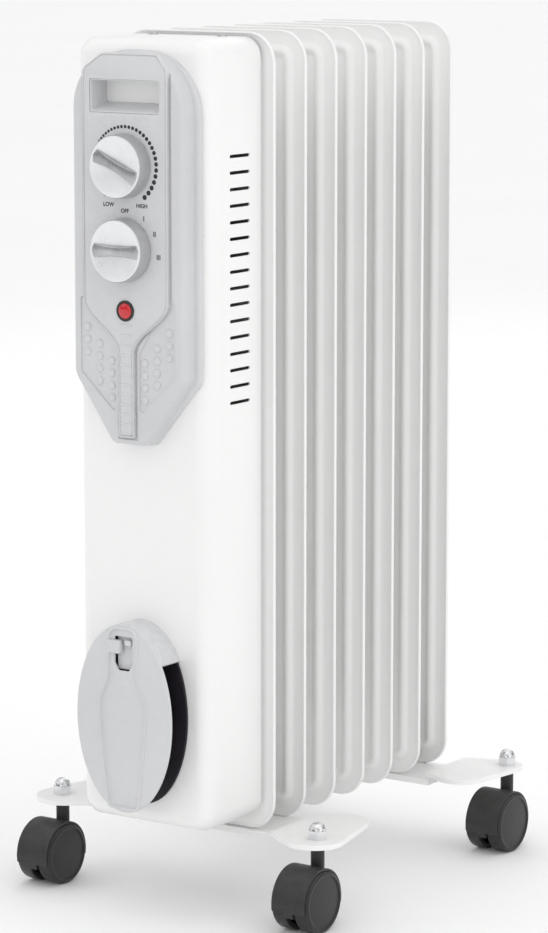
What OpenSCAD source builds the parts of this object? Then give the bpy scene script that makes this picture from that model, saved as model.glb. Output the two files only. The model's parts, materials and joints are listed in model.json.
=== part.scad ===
// Oil filled radiator heater. Seven welded fins stand on two foot plates with twin-wheel castors.
// A sheet-steel control box at the front carries the thermostat, the switch and a cord winder.
// +Z is up and -Y is the front. The origin is on the floor, below the middle of the outline.

/* [Fins] */
// Width of a fin
fin_w = 134.4; // [112:0.1:162]
// Height of a fin
fin_h = 580; // [480:1:700]
// Distance from one fin to the next
fin_pitch = 39.7; // [33:0.1:48]
// Corner radius of the fin outline
fin_corner = 22; // [18:1:28]
// Thickness of the pressed steel sheet
sheet_t = 1; // [0.8:0.1:1.2]
// Depth of the folded edge, front to back
lip_depth = 3; // [2.4:0.1:4]
// Width of the flat rim between the edge and the bead
rim_w = 10.5; // [9:0.5:12.5]
// Width of the raised bead
bead_w = 8.5; // [7:0.5:10]
// Height of the bead's face above the weld plane
bead_h = 3.6; // [3:0.1:4.5]
// Outer radius of the round header where two fins meet
header_r = 27; // [25:0.5:30]
// Radius of the oil opening through a header
header_hole_r = 20; // [18:0.5:21]
// Distance from the end of a fin to its header's axis
header_inset = 50; // [48:1:58]
// Width of an oil channel
channel_w = 18; // [15:0.5:20]
// Depth of an oil channel from the weld plane
channel_h = 8; // [6:0.5:10]
// Distance of an oil channel from the middle of the fin
channel_x = 15; // [13:0.5:16]

/* [Control box] */
// Width of the box
box_w = 115.8; // [112:0.1:130]
// Depth of the box cover
box_depth = 65.6; // [60:0.1:78]
// Wall of the box cover
box_wall = 1.2; // [1:0.1:1.5]
// Gap between the cover's rear rim and the weld plane of the first fin
box_rim_gap = 4.2; // [4.2:0.1:6]
// Drop from the top of the fins to the top of the box
box_top_drop = 3.25; // [2:0.25:6]
// Rise from the bottom of the fins to the bottom of the box
box_bottom_rise = 10.75; // [9:0.25:16]
// Corner radius of the box seen from the front
box_corner = 14; // [10:1:18]
// Radius along the front edges of the box
box_edge = 12; // [9:1:14]
// Number of louvre slots in each side wall
slot_count = 16; // [12:1:18]
// Distance from one slot to the next
slot_pitch = 11.64; // [9.5:0.01:12.5]
// Length of a slot
slot_len = 24.5; // [20:0.5:30]
// Width of a slot
slot_w = 2.4; // [2:0.1:3]
// Distance from the cover's rear rim to the slots
slot_setback = 14; // [12:0.5:18]
// Drop from the top of the box to the highest slot
slot_drop = 82; // [78:1:98]

/* [Control panel] */
// Half width of the bezel where it meets the box
bezel_half_w = 54; // [50:0.5:55]
// Half width of the bezel's front face
bezel_face_half_w = 45; // [43:0.5:47]
// Height of the bezel, top to bottom
bezel_h = 279; // [270:1:300]
// How far the bezel's face stands in front of the box
bezel_depth = 16.2; // [14:0.1:20]
// Wall of the bezel
bezel_wall = 2.2; // [1.8:0.1:2.6]
// Drop from the top of the box to the top of the bezel
bezel_drop = 8; // [7:0.5:12]
// Half width of the dial plate
dial_half_w = 36.8; // [34:0.1:40]
// Thickness of the dial plate
dial_t = 2; // [1.6:0.1:2.6]
// Half width of the dial plate's tail
tail_half_w = 6.6; // [5.5:0.1:8]
// Width of the grip recess
grip_w = 61; // [54:1:64]
// Height of the grip recess
grip_h = 23.5; // [20:0.5:26]
// Drop from the top of the box to the thermostat's axis
thermostat_drop = 88; // [86:1:92]
// Distance from the thermostat's axis down to the switch's axis
switch_drop = 59; // [55:1:64]
// Distance from the switch's axis down to the indicator's axis
lamp_drop = 43; // [40:1:46]

/* [Knobs] */
// Diameter of a knob
knob_d = 45.2; // [38:0.1:48]
// Height of a knob in front of the dial plate, with its running gap
knob_h = 12.4; // [11:0.1:15]
// Width of the grip bar across a knob
bar_w = 8; // [6.5:0.1:9.5]
// Diameter of a control shaft
shaft_d = 6; // [5:0.1:7]

/* [Cord winder] */
// Width of the winder's front plate
winder_w = 84; // [78:1:92]
// Height of the winder's front plate
winder_h = 138; // [128:1:146]
// How far the winder stands in front of the box
winder_depth = 25.2; // [21:0.1:29]
// Rise from the bottom of the box to the middle of the winder
winder_rise = 83; // [80:1:90]
// Diameter of the cord that the gland takes
cord_d = 7.2; // [6:0.1:8]

/* [Feet] */
// Distance between the castor stems across the heater
stem_span = 231; // [215:1:260]
// Thickness of a foot plate
foot_t = 1.5; // [1.2:0.1:2]
// Step up from a foot plate's bar to its lobes
foot_step = 5.95; // [5:0.05:7]
// Radius of the lobe round a front stem
front_lobe_r = 22; // [19:0.5:24]
// Radius of the lobe round a rear stem
rear_lobe_r = 16; // [14:0.5:20]
// Diameter of a U-bolt's rod
ubolt_d = 5; // [4.5:0.1:6]

/* [Castors] */
// Diameter of a castor wheel
wheel_d = 45; // [40:0.5:50]
// Width of one wheel
wheel_w = 12; // [10.5:0.1:13.5]
// Gap between the two wheels of a castor
wheel_gap = 7.8; // [7.6:0.1:9]
// Distance from the stem's axis back to the wheels' axis
castor_trail = 14.4; // [13.5:0.1:16]
// Diameter of a castor's stem thread
stem_d = 8; // [7:0.1:9]
// Diameter of a wheel's axle
axle_d = 6; // [5:0.1:7]

/* [Fits] */
// Radial clearance between a turning shaft and its bore
running_clear = 0.05; // [0.03:0.01:0.08]
// Gap between parts that pass each other
pass_gap = 0.6; // [0.5:0.1:0.9]

/* [Hidden] */
$fn = 48;
fin_count = 7;
far = 1000;

// Heights
hood_r = wheel_d / 2 + 2;
hood_wall = 1.7;
collar_h = 2.5;
neck_h = 12.9;
swivel_gap = 0.3;
lobe_z = wheel_d / 2 + hood_r + neck_h + swivel_gap + collar_h + foot_t;
bar_z = lobe_z - foot_step;
fin_z0 = bar_z;
fin_z1 = fin_z0 + fin_h;
header_z = [fin_z0 + header_inset, fin_z1 - header_inset];
box_z0 = fin_z0 + box_bottom_rise;
box_z1 = fin_z1 - box_top_drop;
box_h = box_z1 - box_z0;
thermostat_z = box_z1 - thermostat_drop;
switch_z = thermostat_z - switch_drop;
lamp_z = switch_z - lamp_drop;
winder_z = box_z0 + winder_rise;

// Places front to back: the outline's middle is at y = 0
rear_stem_back = 11.6;
rear_lobe_back = 8.8;
front_stem_front = 16.5;
front_reach = box_rim_gap + box_depth + bezel_depth + dial_t + knob_h;
rear_reach = max(rear_lobe_back + rear_lobe_r, rear_stem_back - castor_trail + hood_r);
stack = (fin_count - 1) * fin_pitch;
fin_y = (front_reach - rear_reach - stack) / 2;
last_y = fin_y + stack;
box_back_y = fin_y - box_rim_gap;
box_front_y = box_back_y - box_depth;
face_y = box_front_y - bezel_depth;
dial_y = face_y - dial_t;
knob_y = dial_y - knob_h;
header_front_y = fin_y - fin_pitch / 2;
header_back_y = last_y + fin_pitch / 2;
stem_x = stem_span / 2;
front_stem_y = fin_y - front_stem_front;
rear_stem_y = last_y + rear_stem_back;

// ---- Shapes used by several parts ----

// Points of an arc round c from angle a0 to a1
function arc(c, r, a0, a1, n = 8) =
    [for (i = [0:n]) c + r * [cos(a0 + (a1 - a0) * i / n), sin(a0 + (a1 - a0) * i / n)]];

// Outline of a rounded rectangle centred on c
function round_rect(c, w, h, r, n = 6) = concat(
    arc(c + [w / 2 - r, h / 2 - r], r, 0, 90, n), arc(c + [r - w / 2, h / 2 - r], r, 90, 180, n),
    arc(c + [r - w / 2, r - h / 2], r, 180, 270, n), arc(c + [w / 2 - r, r - h / 2], r, 270, 360, n));

// An ellipse by its width and height
function oval(w, h, n = 56) = [for (i = [0:n - 1]) [w / 2 * cos(360 * i / n), h / 2 * sin(360 * i / n)]];

// Extrudes an outline drawn in X and Z from y0 back to y1
module along_y(y0, y1) {
    translate([0, y1, 0]) rotate([90, 0, 0]) linear_extrude(y1 - y0) children();
}

// A cylinder along Y from y0 back to y1
module rod_y(x, z, r, y0, y1, sides = $fn) {
    translate([x, y1, z]) rotate([90, 0, 0]) cylinder(h = y1 - y0, r = r, $fn = sides);
}

// A ring along Y
module ring_y(x, z, r, hole, y0, y1) {
    difference() {
        rod_y(x, z, r, y0, y1);
        rod_y(x, z, hole, y0 - 1, y1 + 1);
    }
}

// A screw along Y: its head is at y0 and its tip at y0 + len, or behind it if len is negative
module screw_y(x, z, r, head_r, head_h, y0, len, sides = $fn) {
    rod_y(x, z, r, min(y0, y0 + len), max(y0, y0 + len));
    rod_y(x, z, head_r, len > 0 ? y0 - head_h : y0, len > 0 ? y0 : y0 + head_h, sides);
}

// Flat link round two circles, drawn as a tangent band
module link(c1, r1, c2, r2) {
    d = norm(c2 - c1);
    u = (c2 - c1) / d;
    v = [-u.y, u.x];
    along = (r1 - r2) / d;
    side = sqrt(1 - along * along);
    n1 = along * u + side * v;
    n2 = along * u - side * v;
    polygon([c1 + r1 * n1, c2 + r2 * n1, c2 + r2 * n2, c1 + r1 * n2]);
    translate(c1) circle(r1);
    translate(c2) circle(r2);
}

// ---- Fins ----

module fin_outline(inset) {
    polygon(round_rect([0, fin_z0 + fin_h / 2], fin_w - 2 * inset, fin_h - 2 * inset,
        max(fin_corner - inset, 3), 8));
}

module fin_ring(inset, width) {
    difference() {
        fin_outline(inset);
        fin_outline(inset + width);
    }
}

// The space that the two oil channels and the headers take, shrunk by the sheet for the inside
module oil_way(shrink) {
    slope = 4;
    half_w = channel_w / 2 - shrink;
    h = channel_h - shrink;
    for (x = [-channel_x, channel_x])
        translate([x, 0, header_z[0]]) linear_extrude(header_z[1] - header_z[0])
            polygon([[-half_w, 0], [slope - half_w, h], [half_w - slope, h], [half_w, 0],
                [half_w - slope, -h], [slope - half_w, -h]]);
    for (z = header_z)
        rod_y(0, z, header_r - shrink, shrink - fin_pitch / 2, fin_pitch / 2 - shrink);
}

// One fin: two pressings seam welded along the plane y = 0
module fin(i) {
    y = fin_y + i * fin_pitch;
    lip_w = 1.8 * sheet_t;
    color([0.95, 0.95, 0.95]) translate([0, y, 0]) difference() {
        union() {
            along_y(-sheet_t, sheet_t) fin_outline(0);
            along_y(-lip_depth / 2, lip_depth / 2) fin_ring(0, lip_w);
            along_y(-bead_h, bead_h) fin_ring(rim_w, bead_w);
            oil_way(0);
        }
        along_y(sheet_t - bead_h, bead_h - sheet_t) fin_ring(rim_w + sheet_t, bead_w - 2 * sheet_t);
        oil_way(sheet_t);
        for (z = header_z) rod_y(0, z, header_hole_r, -fin_pitch, fin_pitch);
        if (i == 0) flange_bolt_places() rod_y(0, 0, flange_bolt_r + 0.2, -fin_pitch, -channel_h - 2, 32);
    }
}

// Pressed discs that close the top opening of the first fin and both openings of the last
module header_caps() {
    cap_t = 1.5;
    lap = 3;
    color([0.9, 0.9, 0.9]) {
        rod_y(0, header_z[1], header_hole_r + lap, header_front_y - cap_t, header_front_y);
        rod_y(0, header_z[0], header_hole_r + lap, header_back_y, header_back_y + cap_t);
        ring_y(0, header_z[1], header_hole_r + lap, filler_r, header_back_y, header_back_y + cap_t);
    }
}

filler_r = 5;

// Plug that closes the filling hole at the back
module filler_plug() {
    color([0.6, 0.6, 0.6]) {
        rod_y(0, header_z[1], filler_r, header_back_y - 6, header_back_y + 1.5);
        rod_y(0, header_z[1], filler_r + 3, header_back_y + 1.5, header_back_y + 4.5, 6);
    }
}

// ---- Heating elements ----

ring_t = 4;
gasket_t = 1.5;
flange_t = 4;
flange_bolt_r = 2.5;
flange_bolt_at = header_hole_r + 3.2;
gasket_y = header_front_y - gasket_t;
flange_y = gasket_y - flange_t;

module flange_bolt_places() {
    for (a = [45:90:315])
        translate([flange_bolt_at * cos(a), 0, header_z[0] + flange_bolt_at * sin(a)]) children();
}

module bolt_circle_disc(r, hole, y0, y1) {
    difference() {
        rod_y(0, header_z[0], r, y0, y1);
        if (hole > 0) rod_y(0, header_z[0], hole, y0 - 1, y1 + 1);
        flange_bolt_places() rod_y(0, 0, flange_bolt_r + 0.2, y0 - 1, y1 + 1, 32);
    }
}

// Threaded ring inside the first header
module flange_ring() {
    y0 = header_front_y + sheet_t;
    color([0.6, 0.6, 0.62])
        bolt_circle_disc(header_r - sheet_t - 0.1, header_hole_r - 2.5, y0, y0 + ring_t);
}

module heater_gasket() {
    color([0.25, 0.3, 0.25]) bolt_circle_disc(header_r, header_hole_r - 2.5, gasket_y, header_front_y);
}

element_r = 4;
element_x = 9;
bend_r = 7;

module heater_flange() {
    color([0.7, 0.7, 0.72]) difference() {
        bolt_circle_disc(header_r, 0, flange_y, gasket_y);
        for (x = [-element_x, element_x], z = [-bend_r, bend_r])
            rod_y(x, header_z[0] + z, element_r + 0.1, flange_y - 1, gasket_y + 1, 32);
    }
}

// Bolts pass through the flange and the first fin's face into the threaded ring
module flange_bolts() {
    color([0.75, 0.75, 0.77]) flange_bolt_places()
        screw_y(0, 0, flange_bolt_r, 3.9, 3.2, flange_y, flange_t + gasket_t + sheet_t + ring_t, 6);
}

// A hairpin tube that reaches into the last fin
module element(x) {
    front = flange_y - 8;
    back = last_y - 4;
    color([0.45, 0.45, 0.47]) translate([x, 0, header_z[0]]) {
        for (z = [-bend_r, bend_r]) rod_y(0, z, element_r, front, back, 32);
        translate([0, back, 0]) rotate([0, 90, 0]) rotate([0, 0, 90])
            rotate_extrude(angle = 180, $fn = 32) translate([bend_r, 0]) circle(element_r, $fn = 32);
        for (z = [-bend_r, bend_r]) rod_y(0, z, 1.6, front - 9, front, 16);
    }
}

// ---- Control box ----

// The outer form of the box, shrunk by a wall for its inside
module box_form(inset) {
    mid_z = (box_z0 + box_z1) / 2;
    y0 = box_front_y + inset;
    y1 = box_back_y + (inset > 0 ? 20 : 0);
    half_w = box_w / 2 - inset;
    edge = box_edge - inset;
    intersection() {
        along_y(y0, y1)
            polygon(round_rect([0, mid_z], box_w - 2 * inset, box_h - 2 * inset, box_corner - inset));
        linear_extrude(far)
            polygon(concat([[half_w, y1], [-half_w, y1]],
                arc([edge - half_w, y0 + edge], edge, 180, 270, 6),
                arc([half_w - edge, y0 + edge], edge, 270, 360, 6)));
        translate([-far / 2, 0, 0]) rotate([90, 0, 90]) linear_extrude(far)
            polygon(concat([[y1, box_z0 + inset], [y1, box_z1 - inset]],
                arc([y0 + edge, box_z1 - inset - edge], edge, 90, 180, 6),
                arc([y0 + edge, box_z0 + inset + edge], edge, 180, 270, 6)));
    }
}

// Places of the screws that hold the bezel, the winder and the back plate
bezel_screw_x = 38;
bezel_screw_z = [box_z1 - 38, thermostat_z - 29, lamp_z - 30];
winder_screw_dz = 26;
spacer_x = 36;
spacer_z = [header_z[0] + 62, header_z[1] - 62];
bezel_screw_r = 1.5;
winder_screw_r = 2;
spacer_screw_r = 2;
bushing_r = 5;
grip_z = box_z1 - 39.75;
gland_x = 26;
gland_y = box_front_y + 30;
gland_r = 8;
bottom_screw_x = 30;
cover_screw_r = 1.75;
cover_screw_y = box_back_y - 8;

module box_cover() {
    slot_y = box_back_y - slot_setback;
    color([0.96, 0.96, 0.96]) difference() {
        box_form(0);
        box_form(box_wall);
        for (i = [0:slot_count - 1])
            translate([-far / 2, 0, 0]) rotate([90, 0, 90]) linear_extrude(far)
                polygon(round_rect([slot_y - slot_len / 2, box_z1 - slot_drop - i * slot_pitch],
                    slot_len, slot_w, slot_w / 2 - 0.01, 3));
        for (z = [thermostat_z, switch_z])
            rod_y(0, z, bushing_r + 6, box_front_y - 1, box_front_y + 5);
        rod_y(0, lamp_z, ring_r + 1, box_front_y - 1, box_front_y + 5);
        for (x = [-bezel_screw_x, bezel_screw_x], z = bezel_screw_z)
            rod_y(x, z, bezel_screw_r + 0.2, box_front_y - 1, box_front_y + 5, 24);
        for (z = [-winder_screw_dz, winder_screw_dz])
            rod_y(0, winder_z + z, winder_screw_r + 0.2, box_front_y - 1, box_front_y + 5, 24);
        translate([gland_x, gland_y, box_z0 - 1]) cylinder(h = 5, r = gland_r - 2);
        for (x = [-bottom_screw_x, bottom_screw_x], z = [box_z0 - 1, box_z1 - box_wall - 1])
            translate([x, cover_screw_y, z]) cylinder(h = box_wall + 2, r = cover_screw_r + 0.2, $fn = 24);
    }
}

// Plate behind the components, with flanges that the cover's screws go into
backplate_y = box_back_y - 12;
plate_t = 1.2;

module box_backplate() {
    inset = box_wall + 0.3;
    w = box_w - 2 * inset;
    h = box_h - 2 * inset;
    mid_z = (box_z0 + box_z1) / 2;
    corner = box_corner - inset;
    color([0.8, 0.8, 0.82]) difference() {
        along_y(backplate_y, box_back_y - 2) polygon(round_rect([0, mid_z], w, h, corner));
        along_y(backplate_y + plate_t, box_back_y)
            polygon(round_rect([0, mid_z], w - 2 * plate_t, h - 2 * plate_t, corner - plate_t));
        for (z = header_z) rod_y(0, z, header_r + pass_gap, backplate_y - 1, box_back_y);
        for (x = [-spacer_x, spacer_x], z = spacer_z)
            rod_y(x, z, spacer_screw_r + 0.2, backplate_y - 1, box_back_y, 24);
        for (x = [-bottom_screw_x, bottom_screw_x], z = [mid_z - h / 2 - 1, mid_z + h / 2 - 2])
            translate([x, cover_screw_y, z]) cylinder(h = 3, r = cover_screw_r, $fn = 24);
    }
}

// Posts welded to the first fin that carry the back plate
module backplate_spacers() {
    y0 = backplate_y + plate_t;
    color([0.7, 0.7, 0.72]) for (x = [-spacer_x, spacer_x], z = spacer_z)
        difference() {
            rod_y(x, z, 4, y0, fin_y - sheet_t);
            rod_y(x, z, spacer_screw_r, y0 - 1, fin_y - sheet_t - 2, 24);
        }
}

// Screws of the back plate and of the cover
module box_screws() {
    color([0.75, 0.75, 0.77]) {
        for (x = [-spacer_x, spacer_x], z = spacer_z)
            screw_y(x, z, spacer_screw_r, 3.8, 1.8, backplate_y, 8);
        for (x = [-bottom_screw_x, bottom_screw_x]) {
            cover_screw(x, box_z0, 1);
            cover_screw(x, box_z1, -1);
        }
    }
}

// A screw through the cover's bottom (up = 1) or top (up = -1)
module cover_screw(x, z, up) {
    translate([x, cover_screw_y, z]) rotate([up > 0 ? 0 : 180, 0, 0]) {
        translate([0, 0, -1.5]) cylinder(h = 1.5, r = 3.4);
        cylinder(h = 6, r = cover_screw_r, $fn = 24);
    }
}

// ---- Control panel ----

bezel_z1 = box_z1 - bezel_drop;
bezel_z0 = bezel_z1 - bezel_h;
taper_rise = 48;
ring_r = 7.4;
lens_r = 5.6;

// Outline of the bezel for a half width: shoulders at the top, a taper to a narrow foot
function bezel_outline(half_w, drop) = let (
        top = bezel_z1 - drop,
        bottom = bezel_z0 + drop,
        shoulder = half_w - 8,
        foot = 16 - drop / 2,
        start = bottom + taper_rise)
    concat(arc([half_w - shoulder, top - shoulder], shoulder, 0, 90, 9),
        arc([shoulder - half_w, top - shoulder], shoulder, 90, 180, 9),
        [[-half_w, start], [-foot, bottom], [foot, bottom], [half_w, start]]);

module bezel_form(inset) {
    slab = 0.2;
    base_y = box_front_y;
    edge_y = face_y + 4;
    hull() {
        along_y(base_y - slab, base_y + (inset > 0 ? 1 : 0))
            polygon(bezel_outline(bezel_half_w - inset, inset));
        along_y(edge_y + inset, edge_y + inset + slab)
            polygon(bezel_outline(bezel_face_half_w + 3 - inset, 1 + inset));
        along_y(face_y + inset, face_y + inset + slab)
            polygon(bezel_outline(bezel_face_half_w - inset, 2.5 + inset));
    }
}

// Half of a side field: the sunk and studded area beside the dial plate's tail
module field(side) {
    inner = tail_half_w + 3.4;
    outer = bezel_face_half_w - 3.5;
    bottom = bezel_z0 + taper_rise + 3;
    top = neck_z + 1;
    scale([side, 1]) polygon([[inner, bezel_z0 + 22], [outer, bottom], [outer, top],
        [outer - 8, top], [inner, neck_z - neck_h_z]]);
}

neck_z = lamp_z + 7;
neck_h_z = 37;
stud_r = 2.9;
stud_pitch_x = 10.6;
stud_pitch_z = 8.8;
// First stud of a side field, from the middle and from the bottom of the bezel
stud_start = [14.5, 34];
// Rise of a column of studs above the one next to it
stud_stagger = 2.6;
// First and last stud of each column, clear of the taper and of the dial plate's neck
stud_rows = [[0, 3], [1, 4], [3, 5]];

module control_bezel() {
    post_r = 4;
    window = 2.5;
    color([0.76, 0.76, 0.77]) {
        difference() {
            union() {
                difference() {
                    bezel_form(0);
                    bezel_form(bezel_wall);
                }
                for (x = [-bezel_screw_x, bezel_screw_x], z = bezel_screw_z)
                    rod_y(x, z, post_r, face_y + 1, box_front_y);
            }
            along_y(face_y - 1, face_y + 5)
                polygon(round_rect([0, grip_z], grip_w + window, grip_h + window, 2, 2));
            for (z = [thermostat_z, switch_z]) rod_y(0, z, shaft_d / 2 + 3, face_y - 1, face_y + 5);
            rod_y(0, lamp_z, ring_r - 1.2, face_y - 1, face_y + 5);
            for (x = [-bezel_screw_x, bezel_screw_x], z = bezel_screw_z)
                rod_y(x, z, bezel_screw_r, face_y + 4, box_front_y + 1, 24);
            for (side = [-1, 1]) along_y(face_y - 1, face_y + 0.9) field(side);
        }
        for (side = [-1, 1], col = [0:2], row = [stud_rows[col][0]:stud_rows[col][1]])
            rod_y(side * (stud_start.x + col * stud_pitch_x),
                bezel_z0 + stud_start.y + row * stud_pitch_z + col * stud_stagger,
                stud_r, face_y + 0.1, face_y + 1.4, 24);
    }
}

// Outline of the dial plate: chamfered top, wide middle, an eased neck and a narrow tail
function dial_outline(inset) = let (
        w = dial_half_w - inset,
        tail = tail_half_w - inset,
        top = bezel_z1 - 2 - inset,
        steps = 10,
        right = concat([[20, top], [w, top - 8.5]],
            [for (i = [0:steps]) [w + (tail - w) * (1 - cos(180 * i / steps)) / 2,
                neck_z - neck_h_z * i / steps]],
            [[tail, bezel_z0 + 7 + inset]]))
    concat(right, [for (i = [len(right) - 1:-1:0]) [-right[i].x, right[i].y]]);

module dial_plate() {
    rim_h = 0.6;
    rib_pitch = 7;
    color([0.8, 0.8, 0.81]) difference() {
        union() {
            along_y(dial_y, face_y) polygon(dial_outline(0));
            along_y(dial_y - rim_h, face_y) difference() {
                polygon(dial_outline(0));
                polygon(dial_outline(1.3));
            }
            for (i = [0:11])
                translate([-tail_half_w, dial_y - 0.4, bezel_z0 + 9 + i * rib_pitch])
                    cube([2 * tail_half_w, 1, 1.1]);
        }
        along_y(dial_y - 1, face_y + 1) polygon(round_rect([0, grip_z], grip_w, grip_h, 1.5, 2));
        for (z = [thermostat_z, switch_z])
            rod_y(0, z, shaft_d / 2 + 1.5, dial_y - 1, face_y + 1);
        rod_y(0, lamp_z, ring_r - 1.2, dial_y - 1, face_y + 1);
    }
}

// Sleeve that lines the grip window back to the box. Its floor rises towards the box
module grip_sleeve() {
    wall = 1.2;
    floor_rise = 6;
    floor_z = grip_z - grip_h / 2 + 0.6;
    color([0.72, 0.72, 0.73]) {
        difference() {
            along_y(dial_y + 0.5, box_front_y)
                polygon(round_rect([0, grip_z], grip_w - 0.2, grip_h - 0.2, 1.4, 2));
            along_y(dial_y, box_front_y + 1)
                polygon(round_rect([0, grip_z], grip_w - 2 * wall, grip_h - 2 * wall, 0.8, 2));
        }
        translate([0.5 - grip_w / 2, 0, 0]) rotate([90, 0, 90]) linear_extrude(grip_w - 1)
            polygon([[dial_y + 2, floor_z], [box_front_y, floor_z], [box_front_y, floor_z + floor_rise],
                [dial_y + 2, floor_z + 1]]);
    }
}

module bezel_screws() {
    y = box_front_y + box_wall;
    color([0.75, 0.75, 0.77]) for (x = [-bezel_screw_x, bezel_screw_x], z = bezel_screw_z)
        screw_y(x, z, bezel_screw_r, 2.9, 1.6, y, -(box_wall + bezel_depth - 5));
}

// ---- Controls ----

bracket_y = box_front_y + box_wall;
bracket_t = 1.5;
body_y = bracket_y + bracket_t;
bush_nut_h = 3;

// Steel bracket behind the cover's front wall that holds the two bodies
module component_bracket() {
    top = thermostat_z + 24;
    bottom = switch_z - 24;
    color([0.7, 0.7, 0.72]) difference() {
        along_y(bracket_y, body_y)
            polygon(round_rect([0, (top + bottom) / 2], 48, top - bottom, 3, 3));
        for (z = [thermostat_z, switch_z]) rod_y(0, z, bushing_r, bracket_y - 1, body_y + 1);
    }
}

// Rear end of one of a body's two tabs
function tab_end(z, size, side) = [side * size.x / 4, body_y + size.z + tab.y, z - size.y / 3 + tab.z / 2];

// A control body with a threaded bushing at the front and a bore for its shaft
module control_body(z, size, tint) {
    bushing_len = 8;
    color(tint) difference() {
        union() {
            along_y(body_y, body_y + size.z) polygon(round_rect([0, z], size.x, size.y, 4, 4));
            rod_y(0, z, bushing_r, body_y - bushing_len, body_y + 1);
            for (side = [-1, 1])
                translate(tab_end(z, size, side) - [tab.x / 2, tab.y, tab.z / 2]) cube(tab);
        }
        rod_y(0, z, shaft_d / 2 + running_clear, body_y - bushing_len - 1, shaft_end_y + 0.5);
    }
}

shaft_end_y = body_y + 11;
tab = [6.4, 7, 0.8];
// Width, height and depth of each control body
thermostat_size = [34, 38, 18];
switch_size = [36, 34, 16];

module thermostat_body() {
    control_body(thermostat_z, thermostat_size, [0.9, 0.88, 0.82]);
}

module switch_body() {
    control_body(switch_z, switch_size, [0.15, 0.15, 0.16]);
}

module bushing_nuts() {
    color([0.8, 0.8, 0.78]) for (z = [thermostat_z, switch_z]) difference() {
        rod_y(0, z, 8, bracket_y - bush_nut_h, bracket_y, 6);
        rod_y(0, z, bushing_r, bracket_y - bush_nut_h - 1, bracket_y + 1);
    }
}

socket_end_y = knob_y + 7;

// Turn of each knob's bar from level at rest
thermostat_turn = 24;
switch_turn = 0;

module shaft(z) {
    color([0.7, 0.7, 0.72]) rod_y(0, z, shaft_d / 2, socket_end_y, shaft_end_y);
}

// A knob with a bar across its face and a sunk half moon on each side of the bar
module knob(z, turn) {
    r = knob_d / 2;
    depth = knob_h - pass_gap;
    edge = 1.6;
    shell = 1.8;
    hub_r = shaft_d / 2 + 2.5;
    sink = 4.6;
    pocket_r = r - 3.2;
    tilt = atan(sink / (2 * pocket_r - bar_w) * 1.4);
    color([0.85, 0.85, 0.86]) translate([0, knob_y, z]) rotate([0, turn, 0]) rotate([-90, 0, 0])
        difference() {
            rotate_extrude() polygon(concat([[0, depth], [r, depth]],
                arc([r - edge, edge], edge, 0, -90, 4), [[0, 0]]));
            for (side = [0, 180]) rotate([0, 0, side]) intersection() {
                translate([0, 0, -1]) cylinder(h = sink + 1, r = pocket_r);
                translate([0, bar_w / 2, sink]) rotate([-tilt, 0, 0])
                    translate([-far / 2, 0, -40]) cube([far, far, 40]);
                translate([-far / 2, bar_w / 2, -2]) cube([far, far, sink + 5]);
            }
            translate([0, 0, sink + shell]) difference() {
                cylinder(h = depth, r = r - shell);
                cylinder(h = depth, r = hub_r);
            }
            translate([0, 0, socket_end_y - knob_y]) cylinder(h = depth, r = shaft_d / 2);
        }
}

// The indicator: a dark ring, a red lens and a neon lamp behind it
module indicator_ring() {
    color([0.12, 0.1, 0.1]) difference() {
        union() {
            rod_y(0, lamp_z, ring_r, dial_y - 1.2, dial_y);
            rod_y(0, lamp_z, ring_r - 1.3, dial_y - 0.1, face_y + bezel_wall + 3);
        }
        rod_y(0, lamp_z, lens_r, dial_y - 2, face_y + bezel_wall + 4);
    }
}

module indicator_lens() {
    color([0.8, 0.05, 0.08]) difference() {
        rod_y(0, lamp_z, lens_r, dial_y - 1.8, face_y + bezel_wall + 3);
        rod_y(0, lamp_z, lens_r - 1, dial_y + 0.2, face_y + bezel_wall + 4);
    }
}

module neon_lamp() {
    color([0.95, 0.7, 0.5]) rod_y(0, lamp_z, lens_r - 1.6, dial_y + 1, lamp_end_y);
}

lamp_end_y = box_front_y + 6;

// Disc cut-out on the back plate above the heater flange
module thermal_cutout() {
    z = header_z[0] + header_r + 18;
    color([0.2, 0.2, 0.22]) {
        rod_y(0, z, 9, backplate_y - 7, backplate_y - 1);
        along_y(backplate_y - 1, backplate_y) polygon(round_rect([0, z], 34, 12, 3, 3));
    }
}

block_z = header_z[0] + header_r + 48;
block_h = 14;

module terminal_block() {
    y0 = backplate_y - 16;
    color([0.92, 0.9, 0.85]) difference() {
        translate([-24, y0, block_z - block_h / 2]) cube([48, 16, block_h]);
        for (x = [-14, 0, 14]) {
            translate([x, y0 + 6, block_z - block_h]) cylinder(h = 2 * block_h, r = 2.2, $fn = 24);
            rod_y(x, block_z, 2.6, y0 - 1, y0 + 3, 24);
        }
    }
}

// A round rod from point a to point b
module rod(a, b, r) {
    d = b - a;
    if (norm(d) > 0)
        translate(a) rotate([0, acos(d.z / norm(d)), atan2(d.y, d.x)])
            cylinder(h = norm(d), r = r, $fn = 16);
}

// A lead along a path of points, with rounded corners
module lead(path) {
    lead_r = 1.3;
    last = len(path) - 1;
    for (i = [1:last]) rod(path[i - 1], path[i], lead_r);
    for (i = [1:last - 1]) translate(path[i]) sphere(lead_r, $fn = 16);
}

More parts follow.
